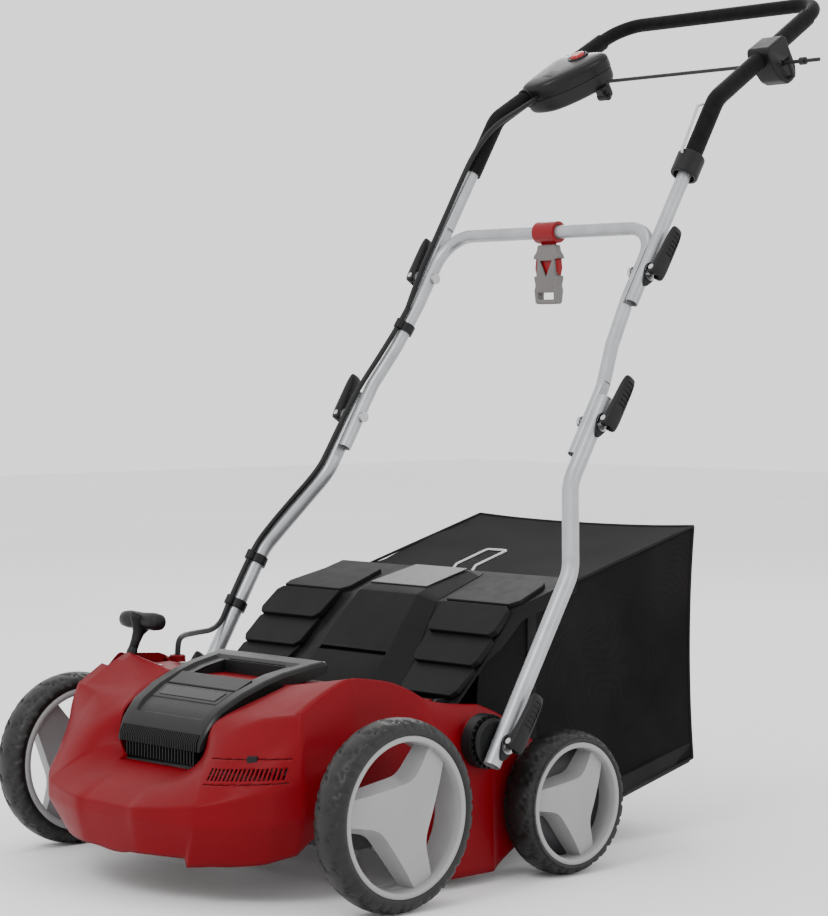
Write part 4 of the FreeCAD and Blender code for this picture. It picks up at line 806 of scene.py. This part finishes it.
def chute_flap():
    """The flap: its bent sheet, its moulded panels and cheeks, the raised middle and the barrel."""
    outline = [(170, 199)] + FLAP_LINE[1:]
    outline += [(372, 329.5), (270.6, 300), (241.5, 269.4), (214.5, 238.2), (173, 197.5)]
    sheet = slab("sheet", outline, -206, 206, side_view)
    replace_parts(rounded_piece("flap_sheet", [sheet], FLAP_BLACK, "flap", 1.2), "chute_flap")
    spans = [((174, 204.8), (210, 239), (113, 103), (203, 205), 4.6, 3.5),
             ((207, 236), (238, 271), (103, 98), (206, 206), 5.4, 5.0),
             ((235.5, 268), (267, 302.5), (98, 92), (207, 205), 6.2, 5.5),
             ((266.5, 303), (341, 324.2), (90, 99), (204, 192), 5.0, 0.8)]
    panels = [flap_panel(*numbers) for numbers in spans]
    edge = [(212, 241), (239, 272), (269, 304), (372, 333), (372, 316), (280, 289), (244, 258)]
    panels.append(slab("cheek", edge, 204, 207, side_view))
    panels += [mirrored(mesh) for mesh in panels]
    rounded_piece("flap_wings", panels, FLAP_BLACK, "flap", 1.4, 3)
    flap_ridge()
    # A thin plate on the ridge's flat top, in a lighter grey: a painted highlight where light falls.
    crown = slab("crown", [(-49.5, 0), (49.5, 0), (45.5, 1), (-45.5, 1)], 0, 1.6,
                 lambda u, v, w: at(u, 276 + 74 * v - 0.25 * w, 318.4 + 17.2 * v + w))
    rounded_piece("flap_crown_painted_highlight", [crown], CROWN_PAINTED_HIGHLIGHT, "flap", 0.7, 3)
    barrel = lathe("barrel", [(-180, 3.1), (-180, 6), (180, 6), (180, 3.1)], at(0, 166, 196), steps=32)
    rounded_piece("flap_barrel", [barrel], FLAP_BLACK, "flap", 0.5)


chute_flap()


# --- collecting bag ---
BAG_FRONT = 314
BAG_BEND = 472
BAG_REAR = 606
BAG_SEED = 3.0


def bag_section(y):
    """Half-width, low and high edge of the bag at a distance behind the front axle."""
    share = (y - BAG_FRONT) / (BAG_REAR - BAG_FRONT)
    half = 182 + 6 * share
    behind_bend = max(0.0, (y - BAG_BEND) / (BAG_REAR - BAG_BEND))
    low = 66 - 5 * smooth_step(BAG_FRONT, BAG_BEND, y) + 31 * behind_bend
    high = 305 + 43 * min(1.0, (y - BAG_FRONT) / (BAG_BEND - BAG_FRONT)) + 36 * behind_bend
    return half, low, high


def rear_bow(level):
    """How far the rear's upright edges are drawn in, from 0 at the bottom to 1 at the top."""
    return 7 * math.sin(math.pi * level) ** 0.8


def bag_point(y, u, seed):
    """A point of the bag's skin; u runs once round the section, starting at the bottom's middle."""
    half, low, high = bag_section(y)
    tall = high - low
    total = 4 * half + 2 * tall
    s = u * total
    share = min(1.0, max(0.0, (y - BAG_FRONT) / (BAG_REAR - BAG_FRONT)))
    along = smooth_step(0, 1, share)
    belly = math.sin(math.pi * share)
    if s < half or s > total - half:
        x = s if s < half else s - total
        return x, y, low + 1.5 * belly * math.sin(math.pi * abs(x) / half)
    if s < half + tall:
        z = (s - half) / tall
        pull = -11 * belly * math.sin(math.pi * z) ** 0.8 - along * rear_bow(z)
        fold = 4.5 * belly * noise.noise(Vector((y * 0.014, z * 3.2, seed)))
        return half + pull + fold, y, low + tall * z
    if s < half + tall + 2 * half:
        x = half - (s - half - tall)
        sag = -(9 * belly + 5 * along) * max(0.0, math.cos(math.pi * x / (2 * half))) ** 0.7
        fold = 3.5 * belly * noise.noise(Vector((x * 0.012, y * 0.016, seed + 5)))
        return x, y, high + sag + fold * (0.4 + 0.6 * along)
    z = 1 - (s - half - tall - 2 * half) / tall
    pull = 11 * belly * math.sin(math.pi * z) ** 0.8 + along * rear_bow(z)
    fold = -4.5 * belly * noise.noise(Vector((y * 0.014, z * 3.2, seed + 11)))
    return -half + pull + fold, y, low + tall * z


def bag_shell():
    """The bag's skin: open in front, its sides and top sagging in between the sewn edges."""
    count = 168
    rows = 34
    turns = [(number + 0.5) / count for number in range(count)]
    rings = []
    for row in range(rows + 1):
        y = BAG_FRONT + (BAG_REAR - BAG_FRONT) * row / rows
        rings.append([at(*bag_point(y, turn, BAG_SEED)) for turn in turns])
    middle = sum(bag_section(BAG_REAR)[1:]) / 2
    for share, back in ((0.995, 2.2), (0.97, 3.0), (0.85, 2.2), (0.7, 1.2), (0.5, -0.4), (0.3, -2.0),
                        (0.1, -2.6)):
        ring = []
        for turn in turns:
            x, _, z = bag_point(BAG_REAR, turn, BAG_SEED)
            x, z = x * share, middle + (z - middle) * share
            wrinkle = 3 * noise.noise(Vector((x * 0.014, z * 0.009, 21))) * (1 - share ** 4)
            ring.append(at(x, BAG_REAR + back + wrinkle, z))
        rings.append(ring)
    last = (len(rings) - 1) * count
    mesh = tidy_mesh(skin("bag_skin", rings, capped=False), capped_rings=(range(last, last + count),))
    made = piece("bag_skin", mesh, BAG, "bag")
    solidify(made, 1.2)
    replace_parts(made, "bag_fabric")


def seam(name, route):
    """A corded seam of the bag."""
    piece(name, tube_curve(name, route, 1.8), HEM, "bag")


def bag():
    """The bag's skin with its seams, hem, binding and front wings."""
    bag_shell()
    steps = [BAG_FRONT + (BAG_REAR - BAG_FRONT) * number / 12 for number in range(13)]
    for side_name, side in SIDES:
        for level in ("low", "high"):
            route = []
            for y in steps:
                half, low, high = bag_section(y)
                route.append(at(side * half, y, low if level == "low" else high))
            seam(f"bag_piping_{level}_{side_name}", route)
    half, low, high = bag_section(BAG_REAR)
    back = BAG_REAR + 1
    for side_name, side in SIDES:
        route = [at(side * (half - rear_bow(number / 8)), back, low + (high - low) * number / 8)
                 for number in range(9)]
        seam(f"bag_rear_piping_{side_name}", route)
    route = [at(half * (number / 4 - 1), back, high - 5 * math.sin(math.pi * number / 8) ** 0.7)
             for number in range(9)]
    seam("bag_rear_piping_high", route)
    seam("bag_rear_piping_low", [at(x, back, low) for x in (-half, 0, half)])
    outline = [(y, bag_section(y)[1] - 1) for y in steps]
    outline += [(y, z + 21) for y, z in reversed(outline)]
    half = bag_section(460)[0]
    strips = [slab("hem", outline, side * (half - 3), side * (half + 1.2), side_view) for side in (-1, 1)]
    strips.append(slab("hem", [(-184, low - 1), (184, low - 1), (184, low + 20), (-184, low + 20)],
                       BAG_REAR - 3, BAG_REAR + 2.8, front_view))
    rounded_piece("bag_hem", strips, HEM, "bag", 1.2)
    outline = [(BAG_FRONT - 2, 66), (BAG_FRONT + 13, 66), (BAG_FRONT + 13, 308), (BAG_FRONT - 2, 305)]
    mouth = [slab("binding", outline, side * 180.5, side * 184, side_view) for side in (-1, 1)]
    top = [(-184, 303.5), (184, 303.5), (184, 306.5), (-184, 306.5)]
    mouth.append(slab("binding", top, BAG_FRONT - 2, BAG_FRONT + 14,
                      lambda u, v, w: at(u, w, v + (w - BAG_FRONT) * 0.27)))
    rounded_piece("bag_binding", mouth, HEM, "bag", 1.0)
    wing = [(316, 300), (290, 296), (268, 284), (244, 256), (234, 240), (230, 200), (236, 150), (316, 110)]
    wings = [slab("wing", wing, side * 179.8, side * 181.2, side_view) for side in (-1, 1)]
    piece("bag_wings", merged("bag_wings", wings), BAG, "bag", smooth=False)


bag()


# --- depth lever ---
def depth_lever():
    """The lever's stalk with its clamp on the crank, and the cross grip on a flattened neck."""
    foot = at(-198, -28, 128)
    top = foot + Vector((0, 60, 138)) * MM
    along = (top - foot).normalized()
    middle = top + along * 12 * MM
    turn = along.to_track_quat("Z", "X")

    def ring(start, reach, wide, deep):
        return [start + along * reach * MM + turn @ Vector((wide * across, deep * up, 0)) * MM
                for across, up in circle(1, 28)]

    grip_half = [(-37, 0), (-37, 6), (-34, 9.4), (-24, 10.8), (-10, 10.2)]
    profile = grip_half + [(0, 9.8)] + [(-reach, radius) for reach, radius in reversed(grip_half)]
    neck = [ring(top, *numbers) for numbers in ((-30, 5.5, 5.5), (-14, 5.8, 5.8), (-4, 7.5, 6.5),
                                                (4, 13, 7.5), (10, 18, 8.5), (16, 19, 8))]
    grip = [lathe("grip", profile, middle, steps=48), skin("neck", neck)]
    made = piece("depth_grip", merged("depth_grip", grip), BLACK, "axle_crank")
    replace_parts(made, "depth_lever_grip")
    stem = [ring(foot, reach, radius, radius)
            for reach, radius in ((0, 5), (20, 5), (100, 5.4), (118, 6.4), (124, 6.4), (130, 5))]
    clamp = lathe("clamp", [(-6, 6.2), (-6, 12), (6, 12), (6, 6.2)], foot, steps=40)
    stalk = rounded_piece("depth_stalk", [skin("stem", stem), clamp], BLACK, "axle_crank",
                          0.6, angle=40)
    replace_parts(stalk, "depth_lever")


depth_lever()


# --- clamp levers ---
CLAMP_SEATS = {"base": (0, 282.2), "lower_joint": (417, 224.7), "upper_joint": (630, 201.2)}
CLAMP_BODIES = {"base": "handle_lower", "lower_joint": "handle_lower", "upper_joint": "handle_middle"}


def clamp_lever(clamp, side_name, side):
    """A cam lever in its closed place, with a slot round the pin and ribs on its back."""
    reach, seat = CLAMP_SEATS[clamp]
    pin = seat + 11.0
    label = f"{clamp}_lever_{side_name}"

    def place(u, v, w):
        return on_handle(side * (pin + v), reach + u, w)

    def row(along, low, high, half, edge):
        outline = [(low, -half), (high - edge, -half), (high, edge - half)]
        outline += [(height, -across) for height, across in reversed(outline)]
        return [place(along, height, across) for height, across in outline]

    rows = [(-8, -3.5, 3, 11, 1.5), (-6, -6, 6.2, 12, 2), (-1, -7.4, 8, 12, 2.4), (6, -7.3, 8.8, 12, 2.6)]
    rows += [(14, -5.6, 9.4, 11.6, 2.8), (24, -3.6, 10.3, 11, 3), (38, -2.4, 11, 10.4, 3)]
    rows += [(50, -1.2, 11.2, 10, 3), (58, 1.6, 10, 9.4, 2.8), (63, 4.6, 8.2, 8, 1.5)]
    body = skin("lever", [row(*numbers) for numbers in rows])
    made = piece(label + "_shell", body, BLACK, label)
    subdivide(made, 2)
    apply_modifiers(made)
    slot_cut = slab("slot", [(-14, -10), (2, -10), (5, -4), (4.5, 5), (-14, 5)], -4.4, 4.4, place)
    dish = slab("dish", [(18, 9.2), (54, 9.6), (54, 14), (18, 14)], -5.5, 5.5, place)
    cut_out(made, [slot_cut, dish])
    ribs = [slab("rib", [(start, 7.5), (start + 1.6, 7.5), (start + 1.6, 10.6), (start, 10.4)],
                 -5.6, 5.6, place) for start in (24, 30, 36, 42, 48)]
    piece(label + "_ribs", merged("ribs", ribs), BLACK, label, smooth=False)
    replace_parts(made, label)


for clamp in CLAMPS:
    for side_name, side in SIDES:
        clamp_lever(clamp, side_name, side)


def clamp_plates():
    """Tear-drop plates under the cams."""
    for clamp in CLAMPS:
        reach, seat = CLAMP_SEATS[clamp]
        outline = [((11.5 + 9 * max(0.0, -across) ** 3) * across, 11.5 * up) for across, up in circle(1, 40)]
        shapes = []
        for side in (-1, 1):
            shapes.append(slab("plate", outline, 0.2, 2.6,
                               lambda u, v, w: on_handle(side * (seat + w), reach + u, v)))
        rounded_piece(clamp + "_plates", shapes, BLACK, CLAMP_BODIES[clamp], 0.7)


clamp_plates()


# --- switch box, button, bail ---
BOX_OUTLINE = [
    (-200, 76), (-197, 66), (-188, 62), (-166, 62), (-152, 68), (-136, 84), (-118, 110), (-107, 138),
    (-106, 152), (-110, 162), (-120, 166), (-188, 166), (-197, 162), (-200, 154),
]
BOX_MIDDLE = (-156, 118)
BUTTON_PLACE = (-150, 146)


def box_rings(*levels):
    """The box's outline at several (scale, height) levels."""
    middle, along = BOX_MIDDLE
    return [[on_top(middle + (x - middle) * scale, along + (reach - along) * scale, off)
             for x, reach in BOX_OUTLINE] for scale, off in levels]


def button_rings(*levels):
    """Circles round the button's axis at several (radius, height) levels."""
    x, reach = BUTTON_PLACE
    return [[on_top(x + across, reach + up, off) for across, up in circle(radius, 40)]
            for radius, off in levels]


def switch_box():
    """The box's lid and base, its vents, bands and bail pivot, and the button in its collar."""
    lid = skin("lid", box_rings((0.9, -5.8), (1.0, -5.8), (1.0, -5.0), (1.0, 6), (0.985, 11), (0.93, 15),
                                (0.80, 17.2), (0.4, 18)))
    base = skin("base", box_rings((0.9, -6.2), (0.985, -6.2), (0.985, -7.2), (0.985, -17), (0.955, -24),
                                  (0.86, -28.6), (0.5, -30.5)))
    made = piece("switch_lid", lid, GLOSSY, "handle_upper")
    subdivide(made, 2)
    apply_modifiers(made)
    cut_out(made, [skin("well", button_rings((13.2, 0), (13.2, 30)))])
    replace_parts(made, "switch_box_lid")
    under = piece("switch_base", base, DARK, "handle_upper")
    subdivide(under, 2)
    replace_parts(under, "switch_box_base")
    trims = []
    for number in range(5):
        start = 88 + 4 * number
        trims.append(slab("vent", [(-170, start), (-154, start), (-154, start + 1.6), (-170, start + 1.6)],
                          17.0, 18.0, on_top))
    for ends in ((60, 66), (161, 168)):
        trims.append(skin("band", [[on_top(-188 + across, end, up) for across, up in circle(13.4, 40)]
                                   for end in ends]))
    trims.append(skin("pivot", [[BAIL_HINGE + Vector((x * MM, 0, 0)) + (UP_TOP * across + OFF_TOP * up) * MM
                                 for across, up in circle(7, 40)] for x in (-122, -106)]))
    trims.append(slab("web", [(-6, -36), (6, -36), (9, -24), (-9, -24)], -120, -108,
                      lambda u, v, w: on_top(w, 130 + u, v)))
    rounded_piece("switch_trim", trims, BLACK, "handle_upper", 0.6)
    rings = button_rings((14.6, 16.6), (14.6, 18.6), (13.6, 19.4), (11.6, 19.4), (11.2, 16))
    collar = tidy_mesh(skin("collar", rings + rings[:1], capped=False), join=2e-6)
    piece("button_collar", collar, BLACK, "handle_upper")
    knob = button_rings((12.6, 8), (12.6, 10.6), (10.4, 11), (10.4, 20), (9.6, 21.4), (7.5, 22.2), (4, 22),
                        (1, 21.8))
    cap = piece("button_cap", skin("cap", knob), BUTTON, "button")
    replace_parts(cap, "safety_button")


switch_box()


def bail_block():
    """The rounded block round the right grip, with the slot and the bore for the bail bar."""
    def place(u, v, w):
        return on_top(w, u, v)

    outline = [(106, 8), (110, 15), (146, 15), (150, 10), (150, -30), (145, -40), (136, -44.5), (124, -44)]
    outline += [(114, -34), (108, -16)]
    block = slab("bail_block", outline, 170.5, 206.5, place)
    made = piece("bail_block", block, BLACK, "handle_upper")
    bevel(made, 4.5, 4, 25)
    apply_modifiers(made)
    bore = [(130 + across, up - 37) for across, up in circle(2.8, 24)]
    travel = [(126, -20.5), (141.5, -20.5), (141.5, -12.6), (126, -12.6)]
    cut_out(made, [slab("bore", bore, 195, 220, place), slab("travel", travel, 160, 220, place)])
    even(made)
    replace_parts(made, "bail_bracket")


bail_block()


def hook_clamp():
    """The band that holds the wire cord hook on the right grip's lower end."""
    rings = [[on_handle(192 + across, reach, up) for across, up in circle(radius, 40)]
             for reach, radius in ((771, 13.6), (771, 17), (773, 17.8), (799, 17.8), (801, 17), (801, 13.6))]
    band = skin("hook_clamp", rings + rings[:1], capped=False)
    rounded_piece("hook_clamp", [band], BLACK, "handle_upper", 0.6)


hook_clamp()


# --- soft edges for CAD pieces that keep their shape ---
def soften(node, width):
    """Rounds a CAD node's edges with modifiers only, so its own mesh stays as it is."""
    made = frame["nodes"][node]
    joined = made.modifiers.new("joined", "WELD")
    joined.merge_threshold = 0.00002
    rounded(made, width, 2, 28)


for node, width in (("cord_relief", 0.6), ("buckle_hook", 1.0), ("toothed_discs", 0.35),
                    ("handle_feet", 0.5), ("cable_clips_lower", 0.4), ("cable_clip_middle", 0.4),
                    ("front_axle_crank", 0.8), ("bag_base", 0.8)):
    soften(node, width)


# --- hanging buckle ---
def buckle():
    """The hanging buckle: a shell with a slot, a window and two notches, and the prongs inside it."""
    bar = on_handle(0, 696)

    def place(u, v, w):
        return bar + Vector((u, w, v)) * MM

    outline = [(-15, -16), (-17, -24), (-22, -30), (-23, -40), (-21, -60), (-19, -68), (-21, -74), (-19, -90)]
    outline += [(-16, -92)]
    outline += [(-x, z) for x, z in reversed(outline)]
    made = piece("buckle_shell", slab("buckle", outline, -6, 6, place), GREY, "buckle")
    bevel(made, 2.2, 3)
    apply_modifiers(made)
    windows = [slab("slot", [(-14, -86), (14, -86), (14, -77), (-14, -77)], -9, 9, place),
               slab("window", [(-11, -36), (11, -36), (0, -58)], -9, 9, place)]
    for side in (-1, 1):
        notch = [(side * 14.5, -34), (side * 26, -34), (side * 26, -56), (side * 16.5, -56)]
        windows.append(slab("notch", notch, -9, 9, place))
    windows.append(slab("throat", [(-12.4, -10), (12.4, -10), (12.4, -66), (-12.4, -66)], -2.4, 2.4, place))
    cut_out(made, windows)
    even(made)
    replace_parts(made, "buckle_body")
    prong = [(6, -20), (13, -22), (20, -34), (21.5, -46), (19, -55), (16, -50), (14, -36), (6, -30)]
    prongs = [slab("prong", [(side * x, z) for x, z in prong], -3.2, 3.2, place) for side in (-1, 1)]
    rounded_piece("buckle_prongs", prongs, BUCKLE_RED, "buckle", 0.8)


buckle()


# --- mains lead ---
LEAD_RADIUS = 3.5
LOWER_OFF = 14.1
SLIM_OFF = 12.6


def lead_stretch(node, route, start, end):
    """One stretch of the lead, a round cord whose route runs across the fold between two bodies."""
    drawn = bpy.data.objects.new("drawn", tube_curve("drawn", route, LEAD_RADIUS))
    bpy.context.scene.collection.objects.link(drawn)
    depsgraph = bpy.context.evaluated_depsgraph_get()
    mesh = bpy.data.meshes.new_from_object(drawn.evaluated_get(depsgraph))
    bpy.data.objects.remove(drawn)
    mesh.materials.clear()
    mesh.materials.append(LEAD)
    mesh.shade_smooth()
    made = bpy.data.objects.new(node + "_lead", mesh)
    bpy.context.scene.collection.objects.link(made)
    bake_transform(made)
    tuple(start)
    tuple(end)
    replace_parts(made, node)


def lead():
    """The lead's three stretches, from the housing's collar up to the switch box."""
    def route(*points):
        return [on_handle(*point) for point in points]

    lower = [at(-200, 92, 214), at(-200, 92, 236), at(-206, 100, 252), at(-235, 142, 251)]
    lower += route((-268, 92, LOWER_OFF), (-272, 134, LOWER_OFF), (-272, 200, LOWER_OFF),
                   (-266, 236, LOWER_OFF), (-231.5, 300, LOWER_OFF))
    middle = route((-231.5, 300, LOWER_OFF), (-216, 328, LOWER_OFF), (-214, 360, LOWER_OFF),
                   (-212, 440, LOWER_OFF), (-197, 500, LOWER_OFF), (-188, 552, SLIM_OFF),
                   (-186, 577, SLIM_OFF))
    upper = route((-186, 577, SLIM_OFF), (-191, 620, SLIM_OFF + 1), (-192.5, 700, SLIM_OFF),
                  (-191, 770, SLIM_OFF + 2), (-186, 820, 18), (-174, 866, 15))
    upper += [on_top(-170, 30, 0), on_top(-170, 70, -2)]
    lead_stretch("cable_lower", lower, at(-200, 92, 230), lower[4])
    lead_stretch("cable_middle", middle, middle[0], middle[3])
    lead_stretch("cable_upper", upper, upper[0], upper[2])


lead()


# --- camera, light and floor ---
def studio():
    """The photo's camera and a white studio with four soft lamps."""
    sensor = 36
    frame_height = 916
    focal = 2605.4
    camera = bpy.data.cameras.new("camera")
    camera.lens = focal * sensor / frame_height
    camera.sensor_width = sensor
    camera.shift_x = -4.72 / frame_height
    camera.shift_y = 1.85 / frame_height
    eye = bpy.data.objects.new("camera", camera)
    bpy.context.scene.collection.objects.link(eye)
    eye.location = at(2304.3, -1897.9, 588.5)
    aim = at(0, 310.4, 469.8) - eye.location
    eye.rotation_euler = aim.to_track_quat("-Z", "Y").to_euler()
    bpy.context.scene.camera = eye

    floor_shader = Shader("studio_floor", 0.9)
    greys = [(0.3, (0.86, 0.86, 0.86)), (0.7, (0.90, 0.90, 0.90))]
    floor_shader.colour(floor_shader.ramp(floor_shader.noise(0.8, 2), greys))
    floor_mesh = mesh_from("floor", [(-9, -9, 0), (9, -9, 0), (9, 9, 0), (-9, 9, 0)], [(0, 1, 2, 3)])
    floor = bpy.data.objects.new("floor", floor_mesh)
    floor_mesh.materials.append(floor_shader.material)
    bpy.context.scene.collection.objects.link(floor)

    world = bpy.data.worlds.new("studio")
    world.use_nodes = True
    background = world.node_tree.nodes["Background"]
    background.inputs["Color"].default_value = (1.0, 1.0, 1.0, 1)
    background.inputs["Strength"].default_value = 1.5
    bpy.context.scene.world = world
    for name, place, size, power in (("key", (0.6, -2.8, 2.8), 1.5, 45), ("fill", (3.4, 0.6, 1.6), 1.4, 12),
                                     ("rim", (-2.2, 2.6, 2.6), 1.4, 25), ("top", (0.2, 0.2, 3.4), 1.2, 9)):
        lamp = bpy.data.lights.new(name, "AREA")
        lamp.shape = "DISK"
        lamp.size = size
        lamp.energy = power
        made = bpy.data.objects.new(name, lamp)
        made.location = place
        made.rotation_euler = (Vector((0, 0, 0.45)) - made.location).to_track_quat("-Z", "Y").to_euler()
        bpy.context.scene.collection.objects.link(made)


studio()
